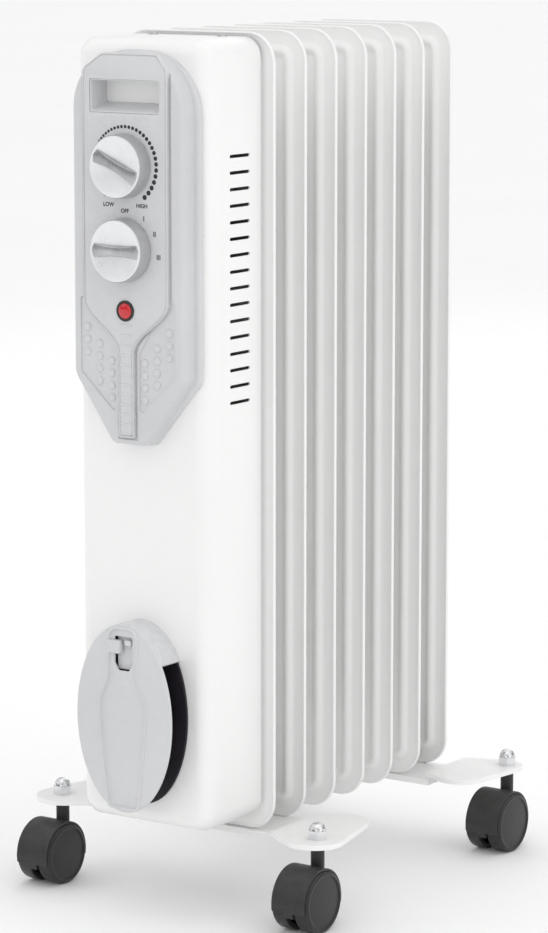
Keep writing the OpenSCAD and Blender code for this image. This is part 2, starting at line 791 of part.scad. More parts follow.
// Insulated leads from the terminal block up to the controls and down to the elements
module wiring() {
    y = backplate_y - 10;
    x_step = 14;
    grip = 4;
    up_z = block_z + block_h / 2;
    down_z = block_z - block_h / 2;
    pin_y = flange_y - 12.5;
    pin_x = element_x + 1.6;
    pin_z = header_z[0] + bend_r;
    ends = [tab_end(thermostat_z, thermostat_size, -1), [0, lamp_end_y, lamp_z],
        tab_end(switch_z, switch_size, 1)];
    color([0.5, 0.35, 0.25]) {
        for (i = [0:2]) {
            x = (i - 1) * x_step;
            end = ends[i];
            lead([[x, y, up_z - grip], [x, y, up_z + 12], [end.x, y, up_z + 12], [end.x, y, end.z], end]);
        }
        for (side = [-1, 1])
            lead([[side * x_step, y, down_z + grip], [side * x_step, y, down_z - 6],
                [side * x_step, pin_y, down_z - 6], [side * x_step, pin_y, pin_z],
                [side * pin_x, pin_y, pin_z]]);
    }
}

// Gland in the floor of the box with the hole that the mains cord passes through
gland_len = 12;

module cord_gland() {
    color([0.12, 0.12, 0.13]) translate([gland_x, gland_y, 0]) difference() {
        union() {
            translate([0, 0, box_z0 - 3]) cylinder(h = 3, r = gland_r);
            translate([0, 0, box_z0 - 1]) cylinder(h = gland_len - 2, r = gland_r - 2.2);
            translate([0, 0, box_z0 + box_wall]) cylinder(h = 3, r = gland_r);
        }
        translate([0, 0, box_z0 - 4]) cylinder(h = gland_len + 2, r = cord_d / 2);
    }
}

// ---- Cord winder ----

winder_y = box_front_y - winder_depth;
winder_t = 2;
base_t = 2;
drum_w = 46;
drum_h = 92;

// A bottle-shaped channel down the winder's plate
function bottle(neck, body, top, shoulder, bottom) = let (
        steps = 8,
        right = concat(arc([neck - 5, top - 5], 5, 90, 0, 4),
            [for (i = [0:steps]) [neck + (body - neck) * (1 - cos(180 * i / steps)) / 2,
                shoulder + 24 - 24 * i / steps]],
            [[body - 4, bottom]]))
    concat(right, [for (i = [len(right) - 1:-1:0]) [-right[i].x, right[i].y]]);

plug_pocket_w = 16;
plug_pocket_h = 20;
plug_pocket_z = winder_z + 50;

module winder_plate() {
    sink = 1.1;
    hood_t = 2;
    neck_w = 11.2;
    body_w = 19;
    color([0.72, 0.72, 0.74]) difference() {
        union() {
            difference() {
                along_y(winder_y, winder_y + winder_t + 1)
                    translate([0, winder_z]) polygon(oval(winder_w, winder_h));
                along_y(winder_y + winder_t, winder_y + 4)
                    translate([0, winder_z]) polygon(oval(winder_w - 4, winder_h - 4));
            }
            // wall that closes the gap over the top
            difference() {
                along_y(winder_y + 1, box_front_y)
                    translate([0, winder_z]) polygon(oval(winder_w, winder_h));
                along_y(winder_y, box_front_y + 1)
                    translate([0, winder_z]) polygon(oval(winder_w - 2 * hood_t, winder_h - 2 * hood_t));
                translate([-far / 2, winder_y + 3, 0]) cube([far, far, winder_z + winder_h * 0.36]);
            }
            for (z = [-winder_screw_dz, winder_screw_dz])
                rod_y(0, winder_z + z, 5, winder_y + 1, winder_y + 8);
            along_y(winder_y + 1, winder_y + 7)
                polygon(round_rect([0, plug_pocket_z], plug_pocket_w + 4, plug_pocket_h + 4, 2, 2));
        }
        along_y(winder_y - 1, winder_y + sink)
            polygon(bottle(neck_w, body_w, winder_z + winder_h / 2 - 5, winder_z + 14,
                winder_z - winder_h / 2 + 4));
        for (z = [-winder_screw_dz, winder_screw_dz])
            rod_y(0, winder_z + z, winder_screw_r, winder_y + 3, winder_y + 9, 24);
        along_y(winder_y - 1, winder_y + 5.5)
            polygon(round_rect([0, plug_pocket_z], plug_pocket_w, plug_pocket_h, 1.5, 2));
    }
}

module winder_drum() {
    wall = 2;
    drum_y = winder_y + 8;
    corner = drum_w / 2 - 0.1;
    color([0.14, 0.13, 0.15]) difference() {
        along_y(drum_y, box_front_y - base_t)
            polygon(round_rect([0, winder_z], drum_w, drum_h, corner, 10));
        along_y(drum_y + wall, box_front_y)
            polygon(round_rect([0, winder_z], drum_w - 2 * wall, drum_h - 2 * wall, corner - wall, 10));
        for (z = [-winder_screw_dz, winder_screw_dz])
            rod_y(0, winder_z + z, winder_screw_r + 0.2, winder_y, box_front_y, 24);
    }
}

module winder_base() {
    color([0.14, 0.13, 0.15]) difference() {
        along_y(box_front_y - base_t, box_front_y)
            translate([0, winder_z]) polygon(oval(winder_w - 4.4, winder_h - 4.4));
        for (z = [-winder_screw_dz, winder_screw_dz])
            rod_y(0, winder_z + z, winder_screw_r + 0.2, box_front_y - 5, box_front_y + 1, 24);
    }
}

module winder_screws() {
    y = box_front_y + box_wall;
    color([0.75, 0.75, 0.77]) for (z = [-winder_screw_dz, winder_screw_dz])
        screw_y(0, winder_z + z, winder_screw_r, 3.6, 2, y, winder_y + 3.5 - y);
}

// ---- Feet ----

bar_front = 5.5;
bar_back = 5;
step_x = 78;
second_lobe_r = 20;
second_lobe_x = stem_x - 13.5;
second_lobe_in = 35;
lobe_x = stem_x - 3;
elbow = [stem_x - 55, 15];
elbow_r = 20;
lobe_skirt = 3.6;
bar_skirt = 4.6;

// Plan of the lobes at one end of a foot. Y runs from the end fin towards the middle
module lobes(stem_in, stem_r, inset) {
    near = [lobe_x, stem_in];
    second = [second_lobe_x, second_lobe_in];
    link(near, stem_r - inset, second, second_lobe_r - inset);
    link(near, stem_r - inset, elbow, elbow_r - inset);
    link(second, second_lobe_r - inset, elbow, elbow_r - inset);
}

// A foot plate drawn at the origin: the end fin's weld plane is y = 0 and the stems lie at stem_in
module foot(stem_in, lobe_in, lobe_r) {
    bar_y = [-bar_front, fin_pitch + bar_back];
    difference() {
        union() {
            for (side = [0, 1]) mirror([side, 0, 0]) {
                translate([0, 0, lobe_z - lobe_skirt]) linear_extrude(lobe_skirt) lobes(lobe_in, lobe_r, 0);
                translate([0, 0, bar_z - foot_t]) linear_extrude(lobe_z - bar_z + foot_t)
                    translate([step_x - foot_t, bar_y[0]]) square([foot_t, bar_y[1] - bar_y[0]]);
            }
            translate([-step_x, bar_y[0], bar_z - bar_skirt])
                cube([2 * step_x, bar_y[1] - bar_y[0], bar_skirt]);
        }
        for (side = [0, 1]) mirror([side, 0, 0]) {
            translate([0, 0, lobe_z - far - foot_t]) linear_extrude(far) intersection() {
                lobes(lobe_in, lobe_r, foot_t);
                translate([step_x, -far / 2]) square([far, far]);
            }
            translate([0, 0, bar_z]) linear_extrude(far)
                translate([0, -far / 2]) square([step_x - foot_t, far]);
            translate([0, 0, bar_z - far]) linear_extrude(far) intersection() {
                translate([0, -far / 2]) square([step_x - foot_t, far]);
                difference() {
                    square(far, center = true);
                    translate([-1, bar_y[0]]) square([far, bar_y[1] - bar_y[0]]);
                }
            }
            translate([stem_x, stem_in, lobe_z - 5]) cylinder(h = 10, r = stem_d / 2 + 0.2);
            translate([ubolt_x, fin_pitch / 2, bar_z - 5]) cylinder(h = 10, r = ubolt_d / 2 + 0.3);
        }
        translate([foot_t - step_x, bar_y[0] + foot_t, bar_z - bar_skirt - 1])
            cube([2 * (step_x - foot_t), bar_y[1] - bar_y[0] - 2 * foot_t, bar_skirt + 1 - foot_t]);
    }
}

module front_foot() {
    color([0.95, 0.95, 0.95]) translate([0, fin_y, 0])
        foot(-front_stem_front, -front_stem_front, front_lobe_r);
}

module rear_foot() {
    color([0.95, 0.95, 0.95]) translate([0, last_y, 0]) mirror([0, 1, 0])
        foot(-rear_stem_back, -rear_lobe_back, rear_lobe_r);
}

ubolt_x = header_r + ubolt_d / 2 + 0.3;
wing_nut_h = 6;
ubolt_y = [fin_y + fin_pitch / 2, last_y - fin_pitch / 2];
ubolt_low_z = bar_z - foot_t - wing_nut_h - 3;

// U-bolts hook over the welded headers and pull the fins down on the feet
module u_bolts() {
    color([0.8, 0.8, 0.82]) for (y = ubolt_y) translate([0, y, 0]) {
        translate([0, 0, header_z[0]]) rotate([90, 0, 0])
            rotate_extrude(angle = 180) translate([ubolt_x, 0]) circle(ubolt_d / 2);
        for (x = [-ubolt_x, ubolt_x])
            translate([x, 0, ubolt_low_z]) cylinder(h = header_z[0] - ubolt_low_z, r = ubolt_d / 2);
    }
}

module wing_nuts() {
    top = bar_z - foot_t;
    wing = [9, 1.8, 8];
    color([0.8, 0.8, 0.82]) for (y = ubolt_y, x = [-ubolt_x, ubolt_x]) translate([x, y, top - wing_nut_h])
        difference() {
            union() {
                cylinder(h = wing_nut_h, r = 5);
                for (turn = [0, 180]) rotate([0, 0, turn])
                    translate([3, -wing.y / 2, -3]) cube(wing);
            }
            translate([0, 0, -5]) cylinder(h = 20, r = ubolt_d / 2);
        }
}

// ---- Castors ----

stem_places = [[-stem_x, front_stem_y], [stem_x, front_stem_y],
    [-stem_x, rear_stem_y], [stem_x, rear_stem_y]];
journal_d = stem_d - 3;
neck_r = journal_d / 2 + 2.5;
stem_bottom_z = wheel_d / 2 + 14.5;
collar_z = lobe_z - foot_t - collar_h;
nut_r = 7.3;
nut_h = 6.5;

module cap_nuts() {
    dome = 6.2;
    color([0.85, 0.85, 0.87]) for (p = stem_places) translate([p.x, p.y, lobe_z]) difference() {
        union() {
            cylinder(h = nut_h, r = nut_r, $fn = 6);
            translate([0, 0, nut_h - 0.4]) intersection() {
                sphere(dome);
                cylinder(h = dome + 1, r = dome + 1);
            }
        }
        translate([0, 0, -1]) cylinder(h = nut_h + 2, r = stem_d / 2);
    }
}

module castor_stems() {
    color([0.75, 0.75, 0.77]) for (p = stem_places) translate([p.x, p.y, 0]) {
        translate([0, 0, stem_bottom_z]) cylinder(h = collar_z - stem_bottom_z, r = journal_d / 2);
        translate([0, 0, collar_z]) cylinder(h = collar_h, r = neck_r);
        translate([0, 0, collar_z + collar_h]) cylinder(h = foot_t + nut_h, r = stem_d / 2);
    }
}

module rod_x(r, half_len) {
    rotate([0, 90, 0]) cylinder(h = 2 * half_len, r = r, center = true);
}

hood_half_w = wheel_gap / 2 + wheel_w - 2;
web_half = wheel_gap / 2 - 0.4;
rim_t = 3.5;

// Hood, web and swivel neck in one moulding, with the axle through the web
module castor_fork(p) {
    lip = 5;
    socket_z = stem_bottom_z - swivel_gap - 1;
    over_wheel_z = wheel_d / 2 + sqrt(pow(wheel_d / 2 + 0.5, 2) - pow(castor_trail - neck_r, 2));
    color([0.14, 0.13, 0.13]) translate([p.x, p.y, 0]) {
        difference() {
            union() {
                difference() {
                    translate([0, -castor_trail, wheel_d / 2]) rod_x(hood_r, hood_half_w);
                    translate([0, -castor_trail, wheel_d / 2]) rod_x(hood_r - hood_wall, far / 2);
                    translate([-far / 2, -far / 2, wheel_d / 2 - lip - far]) cube([far, far, far]);
                }
                intersection() {
                    translate([0, -castor_trail, wheel_d / 2]) rod_x(hood_r - 0.4, web_half);
                    translate([-far / 2, -far / 2, wheel_d / 2 - 9]) cube([far, far, far]);
                }
                intersection() {
                    translate([0, 0, socket_z]) cylinder(h = collar_z - swivel_gap - socket_z, r = neck_r);
                    union() {
                        translate([-web_half, -far / 2, 0]) cube([2 * web_half, far, far]);
                        translate([-far / 2, -far / 2, over_wheel_z]) cube([far, far, far]);
                    }
                }
            }
            translate([0, 0, stem_bottom_z - swivel_gap])
                cylinder(h = far, r = journal_d / 2 + running_clear);
            translate([0, -castor_trail, wheel_d / 2]) rod_x(axle_d / 2 + running_clear, far / 2);
        }
        translate([0, -castor_trail, wheel_d / 2]) rod_x(axle_d / 2, wheel_gap / 2 + wheel_w - 1);
    }
}

// A wheel is open towards the web, so that the swivel neck passes inside its rim
module castor_wheel(p, side) {
    r = wheel_d / 2;
    hub_r = axle_d / 2 + 2.6;
    disc_t = 3;
    round_r = 2.5;
    bore_r = axle_d / 2 + running_clear;
    color([0.16, 0.15, 0.15]) translate([p.x, p.y - castor_trail, r]) rotate([0, side * 90, 0])
        translate([0, 0, wheel_gap / 2]) rotate_extrude($fn = 64)
            polygon(concat([[bore_r, 0], [hub_r, 0], [hub_r, wheel_w - disc_t],
                [r - rim_t, wheel_w - disc_t], [r - rim_t, 0], [r, 0]],
                arc([r - round_r, wheel_w - round_r], round_r, 0, 90, 4), [[bore_r, wheel_w]]));
}

fin(0);  // fin_1
fin(1);  // fin_2
fin(2);  // fin_3
fin(3);  // fin_4
fin(4);  // fin_5
fin(5);  // fin_6
fin(6);  // fin_7
header_caps();
filler_plug();
flange_ring();
heater_gasket();
heater_flange();
flange_bolts();
element(-element_x);  // low_power_element
element(element_x);  // high_power_element
box_cover();
box_backplate();
backplate_spacers();
box_screws();
control_bezel();
bezel_screws();
dial_plate();
grip_sleeve();
component_bracket();
thermostat_body();
switch_body();
bushing_nuts();
knob(thermostat_z, thermostat_turn);  // thermostat_knob
shaft(thermostat_z);  // thermostat_shaft
knob(switch_z, switch_turn);  // switch_knob
shaft(switch_z);  // switch_shaft
indicator_ring();
indicator_lens();
neon_lamp();
thermal_cutout();
terminal_block();
wiring();
cord_gland();
winder_plate();
winder_drum();
winder_base();
winder_screws();
front_foot();
rear_foot();
u_bolts();
wing_nuts();
cap_nuts();
castor_stems();
castor_fork(stem_places[0]);  // castor_fl_fork
castor_wheel(stem_places[0], -1);  // castor_fl_wheel_left
castor_wheel(stem_places[0], 1);  // castor_fl_wheel_right
castor_fork(stem_places[1]);  // castor_fr_fork
castor_wheel(stem_places[1], -1);  // castor_fr_wheel_left
castor_wheel(stem_places[1], 1);  // castor_fr_wheel_right
castor_fork(stem_places[2]);  // castor_rl_fork
castor_wheel(stem_places[2], -1);  // castor_rl_wheel_left
castor_wheel(stem_places[2], 1);  // castor_rl_wheel_right
castor_fork(stem_places[3]);  // castor_rr_fork
castor_wheel(stem_places[3], -1);  // castor_rr_wheel_left
castor_wheel(stem_places[3], 1);  // castor_rr_wheel_right
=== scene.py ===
"""Oil filled radiator heater: the finished looks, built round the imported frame."""

import json
import math

import bmesh
import bpy
from mathutils import Matrix, Vector

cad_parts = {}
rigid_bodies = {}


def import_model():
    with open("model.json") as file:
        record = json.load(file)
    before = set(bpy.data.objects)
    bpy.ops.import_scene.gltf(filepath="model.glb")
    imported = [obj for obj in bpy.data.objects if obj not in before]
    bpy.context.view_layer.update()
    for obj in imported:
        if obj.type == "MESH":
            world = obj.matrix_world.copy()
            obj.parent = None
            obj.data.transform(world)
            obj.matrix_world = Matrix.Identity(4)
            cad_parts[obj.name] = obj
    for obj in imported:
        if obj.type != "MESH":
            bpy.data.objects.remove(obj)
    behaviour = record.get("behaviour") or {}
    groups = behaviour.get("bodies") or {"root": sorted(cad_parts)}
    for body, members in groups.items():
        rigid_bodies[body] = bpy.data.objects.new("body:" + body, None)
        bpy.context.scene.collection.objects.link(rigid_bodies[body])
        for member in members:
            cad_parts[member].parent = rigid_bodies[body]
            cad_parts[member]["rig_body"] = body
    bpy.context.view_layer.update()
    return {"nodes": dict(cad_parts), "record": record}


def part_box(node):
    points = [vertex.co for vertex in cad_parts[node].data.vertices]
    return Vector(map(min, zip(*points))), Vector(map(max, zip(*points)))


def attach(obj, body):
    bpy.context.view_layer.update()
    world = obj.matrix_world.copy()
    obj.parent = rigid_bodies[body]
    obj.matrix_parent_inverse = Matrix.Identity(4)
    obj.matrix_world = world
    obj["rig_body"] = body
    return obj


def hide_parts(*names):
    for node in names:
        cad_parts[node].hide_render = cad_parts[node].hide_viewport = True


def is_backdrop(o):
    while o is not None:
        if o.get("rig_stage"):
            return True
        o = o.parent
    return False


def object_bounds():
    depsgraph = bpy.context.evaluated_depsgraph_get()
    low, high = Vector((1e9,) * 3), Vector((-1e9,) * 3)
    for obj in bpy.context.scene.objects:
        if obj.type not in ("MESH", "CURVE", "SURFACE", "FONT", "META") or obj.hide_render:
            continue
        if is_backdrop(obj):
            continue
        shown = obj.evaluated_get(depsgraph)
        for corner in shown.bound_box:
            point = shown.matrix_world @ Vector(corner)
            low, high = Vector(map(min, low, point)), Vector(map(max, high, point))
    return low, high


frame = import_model()
scene = bpy.context.scene
nodes = frame["nodes"]
MM = 0.001


# ---- Camera, light and floor ----

def aim(thing, azimuth, elevation):
    """Turns a camera or a lamp so that it looks from that side of the heater towards it."""
    a, e = math.radians(azimuth), math.radians(elevation)
    back = Vector((math.sin(a) * math.cos(e), -math.cos(a) * math.cos(e), math.sin(e)))
    thing.rotation_mode = "QUATERNION"
    thing.rotation_quaternion = (-back).to_track_quat("-Z", "Y")
    return back


lens = bpy.data.cameras.new("studio_camera")
camera = bpy.data.objects.new("studio_camera", lens)
scene.collection.objects.link(camera)
camera.location = (1.5036671, -2.1861298, 0.7453218)
aim(camera, 34.33, 9.29)
lens.sensor_width = 36
lens.lens = 138.77
lens.clip_start, lens.clip_end = 0.05, 60
scene.camera = camera


def softbox(name, azimuth, elevation, distance, width, height, power):
    lamp = bpy.data.lights.new(name, "AREA")
    lamp.shape = "RECTANGLE"
    lamp.size, lamp.size_y = width, height
    lamp.energy = power
    holder = bpy.data.objects.new(name, lamp)
    scene.collection.objects.link(holder)
    holder.location = Vector((0, 0, 0.35)) + aim(holder, azimuth, elevation) * distance


softbox("window_softbox", 84, 24, 3.2, 1.8, 2.4, 7)
softbox("overhead_softbox", 20, 78, 3.0, 2.4, 2.4, 5)
softbox("rear_softbox", 205, 30, 3.4, 2.0, 2.0, 5)
scene.view_settings.view_transform = "Standard"
scene.view_settings.look = "None"


# ---- Node groups that several finishes share ----

def new_group(name, inputs, outputs):
    tree = bpy.data.node_groups.new(name, "ShaderNodeTree")
    for label, value in inputs:
        tree.interface.new_socket(
            name=label, in_out="INPUT", socket_type="NodeSocketFloat"
        ).default_value = value
    for label, kind in outputs:
        tree.interface.new_socket(name=label, in_out="OUTPUT", socket_type=kind)
    return tree, tree.nodes.new("NodeGroupInput"), tree.nodes.new("NodeGroupOutput")


def noise(tree, scale, detail, vector):
    node = tree.nodes.new("ShaderNodeTexNoise")
    node.inputs["Detail"].default_value = detail
    if isinstance(scale, (int, float)):
        node.inputs["Scale"].default_value = scale
    else:
        tree.links.new(scale, node.inputs["Scale"])
    tree.links.new(vector, node.inputs["Vector"])
    return node.outputs["Fac"]


def stretch(tree, value, low, high, to_low=0.0, to_high=1.0):
    node = tree.nodes.new("ShaderNodeMapRange")
    for label, number in (("From Min", low), ("From Max", high), ("To Min", to_low), ("To Max", to_high)):
        node.inputs[label].default_value = number
    tree.links.new(value, node.inputs["Value"])
    return node.outputs["Result"]


def maths(tree, operation, a, b):
    node = tree.nodes.new("ShaderNodeMath")
    node.operation = operation
    for socket, value in zip(node.inputs, (a, b)):
        if isinstance(value, (int, float)):
            socket.default_value = value
        else:
            tree.links.new(value, socket)
    return node.outputs["Value"]


def object_space(tree):
    return tree.nodes.new("ShaderNodeTexCoord").outputs["Object"]


def make_grain():
    """Fine relief of a coated or moulded skin. Fine and Coarse are in bumps per metre."""
    tree, come, go = new_group(
        "skin_grain",
        [("Fine", 1400.0), ("Coarse", 60.0), ("Depth", 0.2), ("Waviness", 0.1)],
        [("Normal", "NodeSocketVector"), ("Grain", "NodeSocketFloat")],
    )
    place = object_space(tree)
    fine = noise(tree, come.outputs["Fine"], 3.0, place)
    coarse = noise(tree, come.outputs["Coarse"], 2.0, place)
    wave = tree.nodes.new("ShaderNodeBump")
    wave.inputs["Distance"].default_value = 0.002
    tree.links.new(come.outputs["Waviness"], wave.inputs["Strength"])
    tree.links.new(coarse, wave.inputs["Height"])
    skin = tree.nodes.new("ShaderNodeBump")
    skin.inputs["Distance"].default_value = 0.0002
    tree.links.new(come.outputs["Depth"], skin.inputs["Strength"])
    tree.links.new(fine, skin.inputs["Height"])
    tree.links.new(wave.outputs["Normal"], skin.inputs["Normal"])
    tree.links.new(skin.outputs["Normal"], go.inputs["Normal"])
    tree.links.new(stretch(tree, fine, 0.3, 0.7), go.inputs["Grain"])
    return tree


def make_drift():
    """Slow drift of tone over a surface, with finer clouds in it."""
    tree, come, go = new_group(
        "tone_drift", [("Scale", 9.0)], [("Drift", "NodeSocketFloat")]
    )
    place = object_space(tree)
    slow = noise(tree, come.outputs["Scale"], 2.0, place)
    finer = noise(tree, maths(tree, "MULTIPLY", come.outputs["Scale"], 7.0), 4.0, place)
    both = maths(tree, "ADD", maths(tree, "MULTIPLY", slow, 0.65), maths(tree, "MULTIPLY", finer, 0.35))
    tree.links.new(stretch(tree, both, 0.35, 0.65), go.inputs["Drift"])
    return tree


def make_dust():
    """Dust that settles on faces that look upwards, thicker in some places."""
    tree, come, go = new_group(
        "settled_dust", [("Amount", 0.3)], [("Dust", "NodeSocketFloat")]
    )
    up = tree.nodes.new("ShaderNodeSeparateXYZ")
    tree.links.new(tree.nodes.new("ShaderNodeNewGeometry").outputs["Normal"], up.inputs["Vector"])
    facing = stretch(tree, up.outputs["Z"], 0.15, 0.95)
    clouds = stretch(tree, noise(tree, 130.0, 5.0, object_space(tree)), 0.35, 0.7)
    speckle = maths(tree, "MULTIPLY", facing, clouds)
    tree.links.new(maths(tree, "MULTIPLY", speckle, come.outputs["Amount"]), go.inputs["Dust"])
    return tree


def make_rub():
    """Edges that hands and tools have rubbed a little smoother."""
    tree, come, go = new_group(
        "rubbed_edges", [("Amount", 0.5)], [("Rub", "NodeSocketFloat")]
    )
    edge = tree.nodes.new("ShaderNodeNewGeometry").outputs["Pointiness"]
    raised = stretch(tree, edge, 0.52, 0.6)
    broken = stretch(tree, noise(tree, 220.0, 4.0, object_space(tree)), 0.4, 0.62)
    worn = maths(tree, "MULTIPLY", raised, broken)
    tree.links.new(maths(tree, "MULTIPLY", worn, come.outputs["Amount"]), go.inputs["Rub"])
    return tree


GRAIN, DRIFT, DUST, RUB = make_grain(), make_drift(), make_dust(), make_rub()


def light_the_air():
    """Even white studio air. Gloss and chrome also see grey flags and curtains in it."""
    world = bpy.data.worlds.new("studio_air")
    world.use_nodes = True
    tree = world.node_tree
    air = tree.nodes["Background"]
    air.inputs["Strength"].default_value = 1.02
    direction = tree.nodes.new("ShaderNodeTexCoord").outputs["Generated"]
    parts = tree.nodes.new("ShaderNodeSeparateXYZ")
    tree.links.new(direction, parts.inputs["Vector"])
    curtains = stretch(tree, noise(tree, 2.6, 1.0, direction), 0.42, 0.56)
    high = stretch(tree, parts.outputs["Z"], 0.35, 0.8)
    grey = maths(tree, "MAXIMUM", curtains, high)
    seen = tree.nodes.new("ShaderNodeMix")
    seen.data_type = "RGBA"
    seen.inputs[6].default_value = (0.16, 0.16, 0.17, 1)
    seen.inputs[7].default_value = (1, 1, 1, 1)
    tree.links.new(grey, seen.inputs[0])
    choice = tree.nodes.new("ShaderNodeMix")
    choice.data_type = "RGBA"
    choice.inputs[6].default_value = (1, 1, 1, 1)
    tree.links.new(tree.nodes.new("ShaderNodeLightPath").outputs["Is Glossy Ray"], choice.inputs[0])
    tree.links.new(seen.outputs[2], choice.inputs[7])
    tree.links.new(choice.outputs[2], air.inputs["Color"])
    scene.world = world


light_the_air()


def place_group(tree, group, **values):
    node = tree.nodes.new("ShaderNodeGroup")
    node.node_tree = group
    for label, value in values.items():
        node.inputs[label].default_value = value
    return node


def mix_tone(tree, share, a, b):
    node = tree.nodes.new("ShaderNodeMix")
    node.data_type = "RGBA"
    for socket, tone in ((node.inputs[6], a), (node.inputs[7], b)):
        if isinstance(tone, tuple):
            socket.default_value = (*tone, 1)
        else:
            tree.links.new(tone, socket)
    tree.links.new(share, node.inputs[0])
    return node.outputs[2]


def finish(name, tone, other_tone, rough, rough_spread=0.06, drift=9.0, fine=1400.0, coarse=60.0,
           depth=0.2, waviness=0.0, dust=0.0, rub=0.0, dust_tone=(0.45, 0.44, 0.42), **shader):
    """A material with drifting tone, skin grain, a little dust and rubbed edges."""
    material = bpy.data.materials.new(name)
    material.use_nodes = True
    tree = material.node_tree
    surface = tree.nodes["Principled BSDF"]
    for label, value in shader.items():
        surface.inputs[label.replace("_", " ").title().replace("Ior", "IOR")].default_value = value
    drifting = place_group(tree, DRIFT, Scale=drift)
    skin = place_group(tree, GRAIN, Fine=fine, Coarse=coarse, Depth=depth, Waviness=waviness)
    colour = mix_tone(tree, drifting.outputs["Drift"], tone, other_tone)
    sheen = stretch(tree, drifting.outputs["Drift"], 0.0, 1.0, rough - rough_spread, rough + rough_spread)
    if rub:
        rubbed = place_group(tree, RUB, Amount=rub).outputs["Rub"]
        lighter = tuple(min(1.0, 1.25 * c + 0.03) for c in tone)
        colour = mix_tone(tree, rubbed, colour, lighter)
        sheen = maths(tree, "SUBTRACT", sheen, maths(tree, "MULTIPLY", rubbed, 0.12))
    if dust:
        dusty = place_group(tree, DUST, Amount=dust).outputs["Dust"]
        colour = mix_tone(tree, dusty, colour, dust_tone)
        sheen = maths(tree, "ADD", sheen, maths(tree, "MULTIPLY", dusty, 0.3))
    tree.links.new(colour, surface.inputs["Base Color"])
    tree.links.new(sheen, surface.inputs["Roughness"])
    tree.links.new(skin.outputs["Normal"], surface.inputs["Normal"])
    return material


def brushed(name, tone, other_tone, rough, along=(1.0, 1.0, 40.0), lines=90.0, depth=0.12):
    """Plated or drawn metal with faint lines that run one way."""
    material = finish(name, tone, other_tone, rough, depth=depth, rub=0.3, metallic=1.0)
    tree = material.node_tree
    surface = tree.nodes["Principled BSDF"]
    turn = tree.nodes.new("ShaderNodeMapping")
    turn.inputs["Scale"].default_value = along
    tree.links.new(object_space(tree), turn.inputs["Vector"])
    marks = noise(tree, lines, 4.0, turn.outputs["Vector"])
    tree.links.new(stretch(tree, marks, 0.3, 0.7, rough - 0.08, rough + 0.1), surface.inputs["Roughness"])
    return material


FINISH = {
    "white_enamel": finish("white_enamel", (0.865, 0.865, 0.86), (0.885, 0.885, 0.88), 0.36, 0.03,
                           drift=6.0, fine=900.0, coarse=22.0, depth=0.12, waviness=0.012,
                           dust=0.1, dust_tone=(0.7, 0.69, 0.67), coat_weight=0.2, coat_roughness=0.3),
    "plated_steel": brushed("plated_steel", (0.56, 0.57, 0.58), (0.64, 0.64, 0.65), 0.34),
    "chrome": finish("chrome", (0.72, 0.73, 0.75), (0.8, 0.8, 0.81), 0.13, 0.04, depth=0.05,
                     drift=30.0, metallic=1.0),
    "grey_plastic": finish("grey_plastic", (0.6, 0.605, 0.62), (0.635, 0.64, 0.655), 0.4, 0.05,
                           drift=14.0, fine=2600.0, depth=0.35, waviness=0.02, rub=0.25, dust=0.08),
    "silver_plastic": finish("silver_plastic", (0.8, 0.805, 0.82), (0.86, 0.865, 0.88), 0.3, 0.04,
                             drift=22.0, fine=3000.0, depth=0.2, rub=0.3, metallic=0.3),
    # knob_skirt_painted_shade: silver_plastic's settings with a darker tone, painted shade for the knob's
    # shadowed side.
    "knob_skirt_painted_shade": finish("knob_skirt_painted_shade", (0.42, 0.425, 0.435), (0.47, 0.475, 0.485), 0.34, 0.05, drift=22.0,
                         fine=3000.0, depth=0.25, rub=0.3, metallic=0.3),
    # knob_bar_painted_shade: a dark tone on the silver bar, which is painted shade and painted dark
    # reflection of the bar's sides.
    "knob_bar_painted_shade": brushed("knob_bar_painted_shade", (0.22, 0.225, 0.235), (0.6, 0.605, 0.62), 0.3,
                        along=(20.0, 1.0, 20.0), lines=60.0),
    "wheel_black": finish("wheel_black", (0.017, 0.016, 0.016), (0.023, 0.022, 0.022), 0.36, 0.06,
                          drift=25.0, fine=2200.0, depth=0.3, rub=0.4, dust=0.04,
                          specular_ior_level=0.4),
    "black_plastic": finish("black_plastic", (0.028, 0.026, 0.026), (0.038, 0.036, 0.036), 0.42, 0.07,
                            drift=25.0, fine=2200.0, depth=0.4, rub=0.4, dust=0.04,
                            specular_ior_level=0.35),
    "winder_black": finish("winder_black", (0.011, 0.009, 0.014), (0.017, 0.014, 0.02), 0.5, 0.06,
                           drift=25.0, fine=2400.0, depth=0.45, rub=0.3, specular_ior_level=0.35),
    "red_lens": finish("red_lens", (0.62, 0.012, 0.02), (0.5, 0.008, 0.014), 0.12, 0.03, drift=60.0,
                       fine=1500.0, depth=0.1, coat_weight=0.6, coat_roughness=0.05),
    "lamp_glass": finish("lamp_glass", (0.9, 0.72, 0.6), (0.94, 0.8, 0.7), 0.1, 0.03, depth=0.05,
                         transmission_weight=0.8),
    "gasket_fibre": finish("gasket_fibre", (0.07, 0.09, 0.07), (0.11, 0.13, 0.1), 0.85, 0.05,
                           drift=50.0, fine=1200.0, depth=0.8),
    "element_steel": brushed("element_steel", (0.28, 0.28, 0.29), (0.36, 0.35, 0.35), 0.42),
    "ceramic": finish("ceramic", (0.78, 0.76, 0.7), (0.84, 0.82, 0.77), 0.2, 0.05, drift=40.0,
                      depth=0.15, coat_weight=0.5),
    "control_plastic": finish("control_plastic", (0.72, 0.69, 0.6), (0.78, 0.75, 0.67), 0.45, 0.05,
                              drift=40.0, fine=2200.0, depth=0.4),
    "lead_insulation": finish("lead_insulation", (0.26, 0.14, 0.08), (0.33, 0.19, 0.12), 0.5, 0.08,
                              drift=60.0, fine=1600.0, depth=0.3),
    "scale_ink": finish("scale_ink", (0.02, 0.02, 0.022), (0.034, 0.034, 0.037), 0.55, 0.08,
                        drift=300.0, fine=3000.0, depth=0.3),
    "floor_paint": finish("floor_paint", (0.93, 0.93, 0.93), (0.94, 0.94, 0.94), 0.75, 0.05,
                          drift=1.5, fine=300.0, depth=0.05),
}

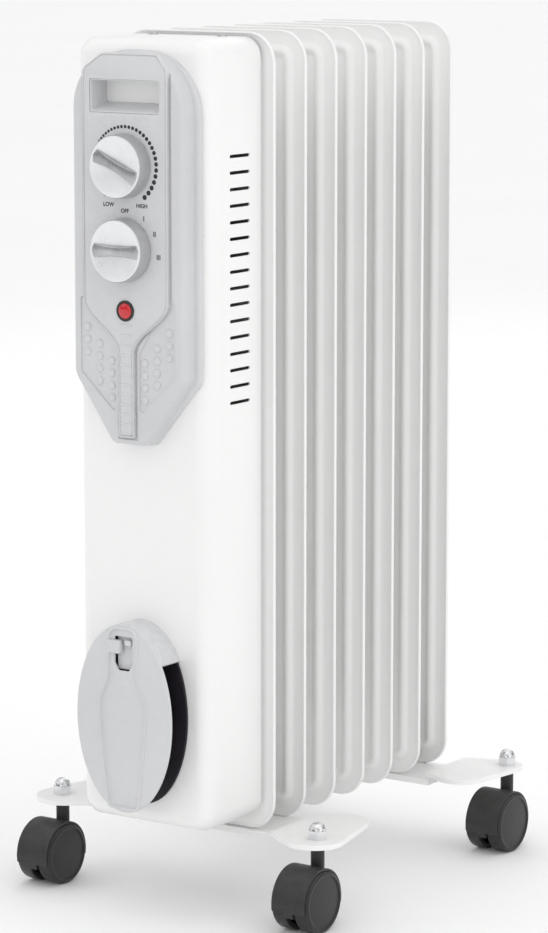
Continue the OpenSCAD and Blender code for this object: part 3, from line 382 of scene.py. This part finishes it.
slot_of = {part["node"]: part["material_slot"] for part in frame["record"]["subparts"]}
for name, cad_part in nodes.items():
    cad_part.data.materials.clear()
    cad_part.data.materials.append(FINISH[slot_of[name]])


# ---- Mesh tools. Shapes are drawn in millimetres ----

def arc(centre, radius, start, end, steps):
    """Points (x, z) round a centre, angles in degrees."""
    angles = [math.radians(start + (end - start) * i / steps) for i in range(steps + 1)]
    return [(centre[0] + radius * math.cos(a), centre[1] + radius * math.sin(a)) for a in angles]


def round_rect(centre, width, height, radius, steps=8):
    x, z = centre
    w, h = width / 2 - radius, height / 2 - radius
    return (arc((x + w, z + h), radius, 0, 90, steps) + arc((x - w, z + h), radius, 90, 180, steps)
            + arc((x - w, z - h), radius, 180, 270, steps) + arc((x + w, z - h), radius, 270, 360, steps))


def oval(centre, width, height, steps=96):
    return [(centre[0] + width / 2 * math.cos(2 * math.pi * i / steps),
             centre[1] + height / 2 * math.sin(2 * math.pi * i / steps)) for i in range(steps)]


def filleted(points, radii, steps=6):
    """The closed outline with each corner that has a radius rounded off."""
    made = []
    count = len(points)
    for i, (point, radius) in enumerate(zip(points, radii)):
        if not radius:
            made.append(point)
            continue
        here = Vector(point)
        before = (Vector(points[i - 1]) - here).normalized()
        after = (Vector(points[(i + 1) % count]) - here).normalized()
        half = before.angle(after) / 2
        middle = here + (before + after).normalized() * radius / math.sin(half)
        start = here + before * radius / math.tan(half) - middle
        end = here + after * radius / math.tan(half) - middle
        turn = start.angle_signed(end)
        for k in range(steps + 1):
            made.append(tuple(middle + Matrix.Rotation(-turn * k / steps, 2) @ start))
    return made


def at_depth(outline, y):
    return [(x, y, z) for x, z in outline]


def loft(rings, closed_ends=True):
    """Faces between rings of points that match one to one."""
    count = len(rings[0])
    points = [p for ring in rings for p in ring]
    faces = []
    for r in range(len(rings) - 1):
        for i in range(count):
            j = (i + 1) % count
            faces.append((r * count + i, r * count + j, (r + 1) * count + j, (r + 1) * count + i))
    if closed_ends:
        faces.append(tuple(range(count)))
        faces.append(tuple(range(len(points) - count, len(points))))
    return points, faces


def revolved(profile, centre, steps=72):
    """A turned solid round an axis along Y. The profile is a list of (radius, y)."""
    rings = []
    for radius, y in profile:
        rings.append([(centre[0] + radius * math.cos(2 * math.pi * i / steps), y,
                       centre[1] + radius * math.sin(2 * math.pi * i / steps)) for i in range(steps)])
    return loft(rings)


def prism(outline, y0, y1):
    return loft([at_depth(outline, y0), at_depth(outline, y1)])


def to_mesh(name, shapes, weld=False):
    """One mesh object from several closed shapes in millimetres."""
    sheet = bmesh.new()
    for points, faces in shapes:
        made = [sheet.verts.new(Vector(p) * MM) for p in points]
        for face in faces:
            sheet.faces.new([made[i] for i in face])
    if weld:
        bmesh.ops.remove_doubles(sheet, verts=sheet.verts, dist=1e-7)
    bmesh.ops.recalc_face_normals(sheet, faces=sheet.faces)
    mesh = bpy.data.meshes.new(name)
    sheet.to_mesh(mesh)
    sheet.free()
    piece = bpy.data.objects.new(name, mesh)
    scene.collection.objects.link(piece)
    return piece


def cut(piece, shapes):
    """Takes closed shapes out of a piece."""
    tool = to_mesh("cutting_tool", shapes)
    knife = piece.modifiers.new("opening", "BOOLEAN")
    knife.operation, knife.solver, knife.object = "DIFFERENCE", "EXACT", tool
    bpy.context.view_layer.update()
    solved = bpy.data.meshes.new_from_object(piece.evaluated_get(bpy.context.evaluated_depsgraph_get()))
    piece.modifiers.clear()
    piece.data = solved
    bpy.data.objects.remove(tool)


def smooth(piece, angle=32):
    mesh = piece.data
    mesh.polygons.foreach_set("use_smooth", [True] * len(mesh.polygons))
    mesh.set_sharp_from_angle(angle=math.radians(angle))


def soften_edges(piece, width, angle=35, segments=3):
    """A small rounding along the edges that are sharper than the angle."""
    edge = piece.modifiers.new("edge_rounding", "BEVEL")
    edge.width, edge.segments = width * MM, segments
    edge.limit_method, edge.angle_limit = "ANGLE", math.radians(angle)
    edge.harden_normals = False
    edge.miter_outer = "MITER_ARC"


def fit(piece, body, slot, stands_for=(), finish_name=None):
    """Gives a piece its finish, its body and the CAD nodes that it stands for."""
    piece.data.materials.clear()
    piece.data.materials.append(FINISH[finish_name or slot])
    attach(piece, body)
    if stands_for:
        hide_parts(*stands_for)
    return piece


def box_mm(node):
    low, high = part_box(node)
    return Vector(low) / MM, Vector(high) / MM


def refine(node, piece_name, rounding=0.4, segments=2, angle=35):
    """A cleaned copy of a CAD part with softened edges, which is shown in its place."""
    source = nodes[node]
    sheet = bmesh.new()
    sheet.from_mesh(source.data)
    bmesh.ops.remove_doubles(sheet, verts=sheet.verts, dist=0.00002)
    bmesh.ops.dissolve_limit(sheet, angle_limit=math.radians(1.5), verts=sheet.verts, edges=sheet.edges)
    mesh = bpy.data.meshes.new(piece_name)
    sheet.to_mesh(mesh)
    sheet.free()
    if "custom_normal" in mesh.attributes:
        mesh.attributes.remove(mesh.attributes["custom_normal"])
    piece = bpy.data.objects.new(piece_name, mesh)
    scene.collection.objects.link(piece)
    if rounding:
        soften_edges(piece, rounding, angle, segments)
    smooth(piece, 40)
    body = source["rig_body"]
    return fit(piece, body, slot_of[node], (node,))


# ---- Fins ----

def fin_profile():
    """Inset from the outline and half depth, from the folded edge over the bead to the flat."""
    lip = [(0.0, 0.0), (0.02, 0.7), (0.3, 1.25), (0.8, 1.5), (1.3, 1.42), (1.7, 1.15), (2.1, 1.0)]
    rim, bead_width, rise = 9.9, 9.7, 2.6
    bead = []
    for i in range(17):
        t = i / 16
        lift = (0.5 - 0.5 * math.cos(2 * math.pi * t)) ** 0.62
        bead.append((rim + bead_width * t, 1.0 + rise * lift))
    return lip + [(5.5, 1.0)] + bead + [(21.2, 1.0)]


def fin_shapes(low, high, header_z):
    """One fin: a beaded sheet, two oil channels and two round headers."""
    width, height = high.x - low.x, high.z - low.z
    middle = ((low.x + high.x) / 2, (low.z + high.z) / 2)
    weld = (low.y + high.y) / 2
    reach = (high.y - low.y) / 2

    def ring(inset, depth):
        radius = max(22.0 - inset, 2.2)
        return at_depth(round_rect(middle, width - 2 * inset, height - 2 * inset, radius, 9), weld + depth)

    profile = fin_profile()
    front = [ring(inset, -depth) for inset, depth in reversed(profile)]
    back = [ring(inset, depth) for inset, depth in profile[1:]]
    shapes = [loft(front + back)]
    half = [(-11.0, 0.95), (-9.6, 1.3), (-8.6, 2.3), (-6.6, 6.2), (-5.8, 7.3), (-4.6, 8.0)]
    crest = half + [(-x, y) for x, y in reversed(half)]
    for x in (-15, 15):
        section = [(x + dx, weld - dy) for dx, dy in crest] + [(x - dx, weld + dy) for dx, dy in crest]
        rings = [[(px, py, z) for px, py in section] for z in header_z]
        shapes.append(loft(rings))
    boss = [(32.5, 0.9), (30.2, 1.3), (28.6, 2.4), (27.6, 4.2), (27.1, 6.5), (27.0, 9.0),
            (27.0, reach - 1.6), (26.7, reach - 0.9), (26.1, reach - 0.35), (25.2, reach)]
    for z in header_z:
        turned = [(r, weld - y) for r, y in reversed(boss)] + [(r, weld + y) for r, y in boss]
        shapes.append(revolved(turned, (middle[0], z)))
    return shapes


cap_low, cap_high = box_mm("header_caps")
first_y = box_mm("fin_1")[0].y
CAP_RADIUS = 23
header_z = (cap_low.z + CAP_RADIUS, cap_high.z - CAP_RADIUS)
fin_mesh = None
for number in range(1, 8):
    low, high = box_mm(f"fin_{number}")
    if fin_mesh is None:
        fin = to_mesh("pressed_fin_1", fin_shapes(low, high, header_z))
        smooth(fin, 40)
        fin_mesh = fin.data
    else:
        fin = bpy.data.objects.new(f"pressed_fin_{number}", fin_mesh)
        scene.collection.objects.link(fin)
        fin.location.y = (low.y - first_y) * MM
    fit(fin, "heater", "white_enamel", (f"fin_{number}",))


# ---- Control box ----

cover_low, cover_high = box_mm("box_cover")
grip_low, grip_high = box_mm("grip_sleeve")
grip_middle = (0, (grip_low.z + grip_high.z) / 2)


def height_of(node):
    low, high = box_mm(node)
    return (low.z + high.z) / 2


thermostat_z, switch_z = height_of("thermostat_knob"), height_of("switch_knob")
SHAFT_HOLE = 11.2


def cut_shaft_holes(piece, y0, y1):
    """Holes that the two control shafts pass through."""
    for z in (thermostat_z, switch_z):
        cut(piece, [prism(oval((0, z), SHAFT_HOLE, SHAFT_HOLE, 48), y0, y1)])


def cover_shape():
    """A pressed cover with rounded front edges, open at the back, with a rolled rear rim."""
    y0, y1, wall, edge = cover_low.y, cover_high.y, 1.2, 12
    width, height = cover_high.x - cover_low.x, cover_high.z - cover_low.z
    middle = (0, (cover_low.z + cover_high.z) / 2)

    def ring(inset, y):
        outline = round_rect(middle, width - 2 * inset, height - 2 * inset, max(14 - inset, 1.6), 10)
        return at_depth(outline, y)

    rings = []
    for i in range(10, -1, -1):
        a = math.radians(90 * i / 10)
        rings.append(ring(edge * (1 - math.cos(a)), y0 + edge * (1 - math.sin(a))))
    rings += [ring(0, y1 - 0.4), ring(0.12, y1 - 0.1), ring(0.45, y1), ring(0.8, y1), ring(wall, y1 - 0.4)]
    inner = edge - wall
    for i in range(0, 11):
        a = math.radians(90 * i / 10)
        rings.append(ring(wall + inner * (1 - math.cos(a)), y0 + wall + inner * (1 - math.sin(a))))
    return loft(rings)


cover = to_mesh("pressed_cover", [cover_shape()])
VENT_COUNT, VENT_LENGTH, VENT_WIDTH, VENT_PITCH = 16, 24.5, 2.4, 11.64
VENT_SETBACK, VENT_DROP = 14, 82
slots = []
for i in range(VENT_COUNT):
    outline = round_rect((0, 0), VENT_LENGTH, VENT_WIDTH, 1.19, 5)
    centre_y = cover_high.y - VENT_SETBACK - VENT_LENGTH / 2
    centre_z = cover_high.z - VENT_DROP - VENT_PITCH * i
    rings = [[(x, centre_y + u, centre_z + v) for u, v in outline] for x in (-70, 70)]
    slots.append(loft(rings))
cut(cover, slots)
cut_shaft_holes(cover, cover_low.y - 2, cover_low.y + 3)
smooth(cover, 30)
fit(cover, "heater", "white_enamel", ("box_cover",))


# ---- Control panel ----

bezel_low, bezel_high = box_mm("control_bezel")
ring_low, ring_high = box_mm("indicator_ring")
lamp_z = (ring_low.z + ring_high.z) / 2
face_y = bezel_low.y
plate_y = face_y - 2
top_z, bottom_z = bezel_high.z, bezel_low.z
neck_z, neck_height, tail = lamp_z + 7, 37.0, 6.6
HEAD_START, HEAD_RISE, HEAD_LEAN = 609.5, 15.5, 6.2


def lean_back(x, y, z):
    """The panel's head curves back towards the box above the grip."""
    share = min(1.0, max(0.0, (cover_low.y - y) / (cover_low.y - face_y)))
    rise = max(0.0, z - HEAD_START) / HEAD_RISE
    return x, y + HEAD_LEAN * share * rise ** 1.6, z


def bezel_outline(half_width, drop):
    top, bottom = top_z - drop, bottom_z + drop
    shoulder, foot, start = half_width - 8, 14.5 - drop / 2, bottom + 48
    curve = (arc((half_width - shoulder, top - shoulder), shoulder, 0, 90, 18)
             + arc((shoulder - half_width, top - shoulder), shoulder, 90, 180, 18))
    points = curve + [(-half_width, start), (-foot, bottom), (foot, bottom), (half_width, start)]
    return filleted(points, [0] * len(curve) + [14, 7, 7, 14], 7)


def dial_outline(inset):
    wide, slim, top = 36.8 - inset, tail - inset, top_z - 2 - inset
    right = [(21.5, top), (24, top - 0.4), (33.6, top - 8.3), (wide - 0.9, top - 10), (wide, top - 12.5)]
    right += [(wide + (slim - wide) * (1 - math.cos(math.pi * i / 20)) / 2, neck_z - neck_height * i / 20)
              for i in range(21)]
    right.append((slim, bottom_z + 7 + inset))
    return right + [(-x, z) for x, z in reversed(right)]


def field_outline(side, inset):
    inner, outer = tail + 3.4 + inset, 41.5 - inset
    points = [(inner, bottom_z + 22 + 1.6 * inset), (outer, bottom_z + 51 + 0.4 * inset),
              (outer, neck_z + 1 - inset), (outer - 8, neck_z + 1 - inset),
              (inner, neck_z - neck_height - 1.2 * inset)]
    rounded = filleted(points, [2.2] * 5, 5)
    return [(side * x, z) for x, z in rounded]


def slice_and_lean(piece):
    """Cuts rows into the panel's head, then leans it back."""
    sheet = bmesh.new()
    sheet.from_mesh(piece.data)
    for z in [HEAD_START + 2 * i for i in range(8)]:
        everything = sheet.verts[:] + sheet.edges[:] + sheet.faces[:]
        bmesh.ops.bisect_plane(sheet, geom=everything, plane_co=(0, 0, z * MM), plane_no=(0, 0, 1))
    for vert in sheet.verts:
        vert.co = Vector(lean_back(*(vert.co / MM))) * MM
    sheet.to_mesh(piece.data)
    sheet.free()


BEZEL_STEPS = [(0.0, 54.0, 0.0), (1.7, 54.0, 0.0), (2.8, 53.6, 0.15), (3.6, 52.7, 0.45),
               (4.0, 51.4, 0.65), (4.1, 50.2, 0.8), (4.35, 49.3, 0.9), (5.1, 48.8, 1.0),
               (7.5, 48.5, 1.05), (10.5, 48.2, 1.1), (12.8, 47.9, 1.2), (14.4, 47.4, 1.5),
               (15.4, 46.6, 1.9), (15.95, 45.6, 2.4), (16.2, 44.6, 2.9)]
bezel_rings = [at_depth(bezel_outline(half, drop), cover_low.y - forward)
               for forward, half, drop in BEZEL_STEPS]
bezel = to_mesh("bezel_moulding", [loft(bezel_rings)])
sunk = [loft([at_depth(field_outline(side, 0.0), face_y - 1),
              at_depth(field_outline(side, 0.3), face_y + 1.0)]) for side in (-1, 1)]
cut(bezel, [loft([at_depth(dial_outline(-2.3), face_y - 1), at_depth(dial_outline(-1.5), face_y + 1.3)])])
cut(bezel, sunk + [prism(round_rect(grip_middle, 62.4, 24.8, 2), face_y - 2, cover_low.y + 2)])
cut_shaft_holes(bezel, face_y - 2, cover_low.y + 2)
slice_and_lean(bezel)
smooth(bezel, 34)
fit(bezel, "heater", "grey_plastic", ("control_bezel",))

studs = []
for side in (-1, 1):
    for column, (first, last) in enumerate(((0, 3), (1, 4), (3, 5))):
        for row in range(first, last + 1):
            centre = (side * (14.5 + 10.6 * column), bottom_z + 34 + 8.8 * row + 2.6 * column)
            dome = [(3.0, face_y + 1.2), (2.95, face_y + 0.55), (2.6, face_y + 0.1), (1.9, face_y - 0.2),
                    (1.0, face_y - 0.38), (0.2, face_y - 0.42)]
            studs.append(revolved(dome, centre, 24))
stud_piece = to_mesh("grip_studs", studs)
smooth(stud_piece, 50)
fit(stud_piece, "heater", "grey_plastic")

RIM_STEPS = [(0.15, face_y + 1.6), (0.0, face_y - 0.5), (0.0, plate_y - 0.2), (0.18, plate_y - 0.48),
             (0.5, plate_y - 0.6), (0.85, plate_y - 0.5), (1.1, plate_y - 0.15), (1.25, plate_y + 0.25),
             (1.6, plate_y + 0.25), (1.85, plate_y - 0.05), (2.1, plate_y - 0.1)]
plate = to_mesh("scale_plate", [loft([at_depth(dial_outline(inset), y) for inset, y in RIM_STEPS])])
holes = [prism(round_rect(grip_middle, 61, 23.5, 1.6), plate_y - 3, face_y + 3)]
holes.append(revolved([(6.0, plate_y - 3), (6.0, face_y + 3)], (0, lamp_z), 48))
cut(plate, holes)
cut_shaft_holes(plate, plate_y - 3, face_y + 3)
slice_and_lean(plate)
smooth(plate, 30)
fit(plate, "heater", "grey_plastic", ("dial_plate",))

RIB_COUNT, FIRST_RIB, RIB_PITCH = 12, 9.5, 7
ribs = []
for i in range(RIB_COUNT):
    z = bottom_z + FIRST_RIB + RIB_PITCH * i
    ribs.append(loft([at_depth(round_rect((0, z), 2 * tail - 2.6, 1.3 - 2 * e, 0.25, 3), y)
                      for e, y in ((0.0, plate_y + 0.3), (0.05, plate_y - 0.35), (0.3, plate_y - 0.55))]))
rib_piece = to_mesh("tail_ribs", ribs)
smooth(rib_piece, 40)
fit(rib_piece, "heater", "grey_plastic")


# ---- Printed scale ----

ink_y = plate_y - 0.16
SCALE_END, SCALE_RADIUS = 141.0, 27.4
LOW_END_PITCH, PITCH_GROWTH, DOT_SHARE = 3.4, 6.4, 0.39
dots = []
bearing = SCALE_END
while bearing > -SCALE_END:
    share = (bearing + SCALE_END) / (2 * SCALE_END)
    pitch = LOW_END_PITCH + PITCH_GROWTH * share
    across = DOT_SHARE * math.radians(pitch) * SCALE_RADIUS * 2
    centre = (SCALE_RADIUS * math.sin(math.radians(bearing)),
              thermostat_z + SCALE_RADIUS * math.cos(math.radians(bearing)))
    dots.append(prism(oval(centre, across, across, 20), ink_y, ink_y + 0.12))
    bearing -= pitch
marks = to_mesh("scale_marks", dots)
fit(marks, "heater", "grey_plastic", finish_name="scale_ink")


TYPE_PER_CAPITAL = 1.38


def label(name, words, x, z, height):
    """Printed words. Height is that of a capital letter, in millimetres."""
    curve = bpy.data.curves.new(name, "FONT")
    curve.body, curve.size = words, height * MM * TYPE_PER_CAPITAL
    curve.align_x, curve.align_y = "CENTER", "CENTER"
    curve.extrude, curve.offset = 0.00004, 0.0001
    text = bpy.data.objects.new(name + "_text", curve)
    scene.collection.objects.link(text)
    bpy.context.view_layer.update()
    mesh = bpy.data.meshes.new_from_object(text.evaluated_get(bpy.context.evaluated_depsgraph_get()))
    bpy.data.objects.remove(text)
    upright = Matrix.Rotation(math.radians(90), 4, "X")
    mesh.transform(Matrix.Translation((x * MM, ink_y * MM, z * MM)) @ upright)
    mesh.name = name
    piece = bpy.data.objects.new(name, mesh)
    scene.collection.objects.link(piece)
    fit(piece, "heater", "grey_plastic", finish_name="scale_ink")


label("low_label", "LOW", -14.2, thermostat_z - 27.6, 2.9)
label("high_label", "HIGH", 14.8, thermostat_z - 27.6, 2.9)
label("off_label", "OFF", 0, switch_z + 27.4, 2.9)
label("low_power_label", "I", 16.4, switch_z + 22.6, 3.6)
label("high_power_label", "II", 25.6, switch_z + 12.2, 3.6)
label("full_power_label", "III", 29.0, switch_z - 3.8, 3.6)


# ---- Cord winder ----

winder_low, winder_high = box_mm("winder_plate")
winder_z = (winder_low.z + winder_high.z) / 2
winder_y = winder_low.y
plate_w, plate_h = winder_high.x - winder_low.x, winder_high.z - winder_low.z


def bottle(grow):
    """Outline of the channel that runs down the winder's plate."""
    neck, body, foot = 11.2 + grow, 19.0 + grow, 11.5 + grow
    top, bottom = winder_z + 64.5 + grow, winder_z - 64 - grow
    right = arc((neck - 8, top - 8), 8, 90, 0, 8)
    right += [(neck + (body - neck) * (1 - math.cos(math.pi * i / 14)) / 2, winder_z + 33 - 24 * i / 14)
              for i in range(15)]
    right += [(body + (foot - body) * (i / 8) ** 1.5, winder_z + 9 - 73 * i / 8) for i in range(1, 8)]
    right += arc((foot - 3, bottom + 3), 3, 0, -90, 5)
    return right + [(-x, z) for x, z in reversed(right)]


def winder_ring(inset, y):
    return at_depth(oval((0, winder_z), plate_w - 2 * inset, plate_h - 2 * inset), y)


WINDER_STEPS = [(1.4, 3.0), (0.2, 2.9), (0, 2.4), (0.15, 1.7), (0.7, 1.1), (2.0, 0.75), (8.0, 0.35),
                (20.0, 0.05), (28.0, 0)]
front_rings = [winder_ring(inset, winder_y + depth) for inset, depth in WINDER_STEPS]
winder = to_mesh("winder_face", [loft(front_rings)])
channel = loft([at_depth(bottle(1.0), winder_y - 0.6), at_depth(bottle(0.2), winder_y + 1.1),
                at_depth(bottle(-0.3), winder_y + 1.6), at_depth(bottle(-1.2), winder_y + 1.75)])
cut(winder, [channel])
pocket = [(8, winder_z + 60), (8, winder_z + 40.5), (4.6, winder_z + 35), (-4.6, winder_z + 35),
          (-8, winder_z + 40.5), (-8, winder_z + 60)]
cut(winder, [prism(filleted(pocket, [1.5, 1, 1.5, 1.5, 1, 1.5], 4), winder_y - 1, winder_y + 4)])
smooth(winder, 30)
fit(winder, "heater", "grey_plastic", ("winder_plate",))

pocket_outline = round_rect((0, winder_z + 47.5), 15, 24, 1)
pocket_back = to_mesh("plug_pocket_back", [prism(pocket_outline, winder_y + 5.3, winder_y + 6.1)])
soften_edges(pocket_back, 0.2)
smooth(pocket_back, 40)
fit(pocket_back, "heater", "grey_plastic")

rib_rings = [at_depth(bottle(grow), winder_y + depth)
             for grow, depth in ((2.6, 0.6), (2.45, -0.1), (2.1, -0.5), (1.6, -0.6), (1.1, -0.5),
                                 (0.8, -0.1), (0.7, 1.4), (2.6, 1.4), (2.6, 0.6))]
winder_rib = to_mesh("winder_rib", [loft(rib_rings, closed_ends=False)], weld=True)
smooth(winder_rib, 40)
fit(winder_rib, "heater", "grey_plastic")

HOOD_START, HOOD_SWEEP, HOOD_STEPS = 38, 104, 32
hood_rings = []
for i in range(HOOD_STEPS + 1):
    a = math.radians(HOOD_START + HOOD_SWEEP * i / HOOD_STEPS)
    outer = ((plate_w / 2 - 0.2) * math.cos(a), winder_z + (plate_h / 2 - 0.2) * math.sin(a))
    inner = ((plate_w / 2 - 2.2) * math.cos(a), winder_z + (plate_h / 2 - 2.2) * math.sin(a))
    y0, y1 = winder_y + 2.2, cover_low.y
    hood_rings.append([(outer[0], y0, outer[1]), (outer[0], y1, outer[1]), (inner[0], y1, inner[1]),
                       (inner[0], y0, inner[1])])
clip_block = []
for x, z, w, h, y in ((-7.4, winder_z + 52.3, 11.0, 9.6, -0.5), (3.6, winder_z + 55.5, 6.0, 4.0, 1.6)):
    clip_block.append(loft([at_depth(round_rect((x, z), w - 2 * e, h - 2 * e, 1.4, 4), winder_y + depth)
                            for e, depth in ((0.0, 3.1), (0.0, y + 0.5), (0.2, y + 0.15), (0.6, y))]))
clip = to_mesh("plug_clip", clip_block)
smooth(clip, 40)
fit(clip, "heater", "grey_plastic")
hood = to_mesh("winder_hood", [loft(hood_rings)])
smooth(hood, 40)
fit(hood, "heater", "grey_plastic")


# ---- Knobs, lens and grip ----

def turning_knob(name, body, node, turn):
    """A dished disc with a waisted bar across it, both turned with the shaft."""
    low, high = box_mm(node)
    centre, y0, y1 = ((low.x + high.x) / 2, (low.z + high.z) / 2), low.y, high.y
    radius = (high.z - low.z) / 2
    bowl = [(0.4, y0 + 3.3), (5.0, y0 + 3.1), (10.0, y0 + 2.5), (14.5, y0 + 1.65), (18.0, y0 + 0.85),
            (19.6, y0 + 0.5), (20.2, y0 + 0.3), (20.7, y0 + 0.1), (21.2, y0 + 0.12), (21.6, y0 + 0.4),
            (21.7, y0 + 0.9), (21.7, y0 + 3.8)]
    disc = to_mesh(name + "_disc", [revolved(bowl, centre, 112)])
    smooth(disc, 40)
    fit(disc, body, "silver_plastic", (node,))
    skirt = [(21.3, y0 + 4.2), (21.65, y0 + 1.15), (21.8, y0 + 0.7), (22.0, y0 + 0.75), (22.2, y0 + 1.3),
             (radius - 0.1, y1 - 1.0), (radius - 0.05, y1 - 0.25), (radius - 0.4, y1)]
    rim = to_mesh(name + "_skirt", [revolved(skirt, centre, 112)])
    smooth(rim, 40)
    # The skirt gets the darker copy of the silver finish, which is painted shade on the knob's side.
    fit(rim, body, "silver_plastic", finish_name="knob_skirt_painted_shade")
    along = Vector((math.cos(math.radians(turn)), -math.sin(math.radians(turn))))
    across = Vector((-along.y, along.x))

    def bar_ring(inset, y):
        reach = 20.3 - inset
        outline = []
        for side in (1, -1):
            for i in range(25):
                u = side * reach * (1 - 2 * i / 24)
                ends = min(1.0, (reach - abs(u)) / 2.2)
                v = side * (3.3 + 2.3 * (u / 20) ** 2 - inset) * math.sqrt(max(0.02, 1 - (1 - ends) ** 2))
                outline.append(tuple(Vector(centre) + along * u + across * v))
        return at_depth(outline, y)

    steps = [(-0.9, y0 + 3.6), (-0.45, y0 + 2.2), (0.0, y0 + 1.0), (0.15, y0 + 0.45), (0.4, y0 + 0.15),
             (0.8, y0)]
    bar = to_mesh(name + "_bar", [loft([bar_ring(inset, y) for inset, y in steps])])
    smooth(bar, 38)
    # The bar gets the dark finish, which is painted shade and painted reflection on the silver bar.
    fit(bar, body, "silver_plastic", finish_name="knob_bar_painted_shade")


turning_knob("thermostat", "thermostat_dial", "thermostat_knob", 24)
turning_knob("switch", "switch_dial", "switch_knob", 0)

lens_low, lens_high = box_mm("indicator_lens")
lens_r = (lens_high.x - lens_low.x) / 2
dome = [(lens_r, plate_y + 1.5), (lens_r, lens_low.y + 0.9), (lens_r - 0.25, lens_low.y + 0.45),
        (lens_r - 0.9, lens_low.y + 0.05), (3.6, lens_low.y - 0.35), (2.2, lens_low.y - 0.55),
        (0.9, lens_low.y - 0.64), (0.1, lens_low.y - 0.66)]
lens_piece = to_mesh("lamp_lens", [revolved(dome, (0, lamp_z), 64)])
smooth(lens_piece, 50)
fit(lens_piece, "heater", "red_lens", ("indicator_lens",))


GRIP_HALF_W, GRIP_HALF_H = 30.3, 11.65


def grip_ring(side, floor, roof, y):
    """A ring of the recess's lining, drawn in from its side, floor and roof."""
    half = GRIP_HALF_W - side
    low_z, high_z = grip_middle[1] - GRIP_HALF_H + floor, grip_middle[1] + GRIP_HALF_H - roof
    outline = round_rect((0, (low_z + high_z) / 2), 2 * half, high_z - low_z, 1.4, 5)
    return at_depth(outline, y)


wall_back = cover_low.y - 0.05
lining = [grip_ring(0, 0, 0, wall_back), grip_ring(0, 0, 0, plate_y + 0.6),
          grip_ring(0.25, 0.25, 0.25, plate_y + 0.35),
          grip_ring(0.8, 0.8, 0.8, plate_y + 0.55), grip_ring(1.2, 1.4, 1.0, plate_y + 1.2),
          grip_ring(1.9, 6.6, 1.4, wall_back)]
sleeve = to_mesh("grip_lining", [loft(lining + [lining[0]], closed_ends=False)], weld=True)
smooth(sleeve, 34)
fit(sleeve, "heater", "grey_plastic", ("grip_sleeve",))


# ---- Parts whose shape comes from the frame ----

REFINED = {
    "indicator_ring": ("lamp_surround", 0.35, 2), "winder_drum": ("winder_core", 0.5, 2),
    "winder_base": ("winder_back", 0.4, 2), "front_foot": ("front_foot_plate", 0.45, 3),
    "rear_foot": ("rear_foot_plate", 0.45, 3), "cap_nuts": ("domed_nuts", 0.45, 3),
    "wing_nuts": ("clamp_wing_nuts", 0.3, 2), "u_bolts": ("clamp_bows", 0.0, 0),
    "header_caps": ("header_end_discs", 0.4, 2), "filler_plug": ("fill_plug", 0.4, 2),
    "cord_gland": ("gland_body", 0.5, 2), "castor_stems": ("swivel_stems", 0.3, 2),
}
for node, (piece_name, rounding, segments) in REFINED.items():
    refine(node, piece_name, rounding, segments)


# ---- Castors ----

WHEEL = [(0.1, 0.8), (3.05, 0.8), (3.05, 12.0), (5.6, 12.0), (5.6, 3.0), (19.0, 3.0), (19.0, 12.0),
         (22.1, 12.0), (22.5, 11.6), (22.5, 2.2), (22.25, 1.2), (21.5, 0.4), (20.8, 0.08), (20.2, 0.0),
         (19.7, 0.15), (19.45, 0.75), (18.9, 1.0), (17.5, 0.85), (10.0, 0.4), (5.0, 0.24), (0.1, 0.18)]
WHEEL_STEPS = 96


def castor_wheel(node, piece_name, side):
    """A turned wheel with a rounded tread, a raised rim and a dished outer face."""
    low, high = box_mm(node)
    face_x = high.x if side > 0 else low.x
    centre = ((low.y + high.y) / 2, (low.z + high.z) / 2)
    rings = []
    for radius, depth in WHEEL:
        turned = arc(centre, radius, 0, 360 - 360 / WHEEL_STEPS, WHEEL_STEPS - 1)
        rings.append([(face_x - side * depth, y, z) for y, z in turned])
    piece = to_mesh(piece_name, [loft(rings)])
    smooth(piece, 38)
    fit(piece, nodes[node]["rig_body"], "black_plastic", (node,), finish_name="wheel_black")


for corner in ("fl", "fr", "rl", "rr"):
    refine(f"castor_{corner}_fork", f"castor_{corner}_hood", 0.5, 3)
    for side_name, side in (("left", -1), ("right", 1)):
        castor_wheel(f"castor_{corner}_wheel_{side_name}", f"castor_{corner}_tread_{side_name}", side)


# ---- Floor ----

FLOOR_RADIUS, FLOOR_STEPS = 30000, 96
floor_turns = [2 * math.pi * i / FLOOR_STEPS for i in range(FLOOR_STEPS)]
floor_points = [(FLOOR_RADIUS * math.cos(a), FLOOR_RADIUS * math.sin(a), 0.0) for a in floor_turns]
floor = to_mesh("studio_floor", [(floor_points, [tuple(range(FLOOR_STEPS))])])
floor.data.materials.append(FINISH["floor_paint"])
floor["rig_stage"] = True

low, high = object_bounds()
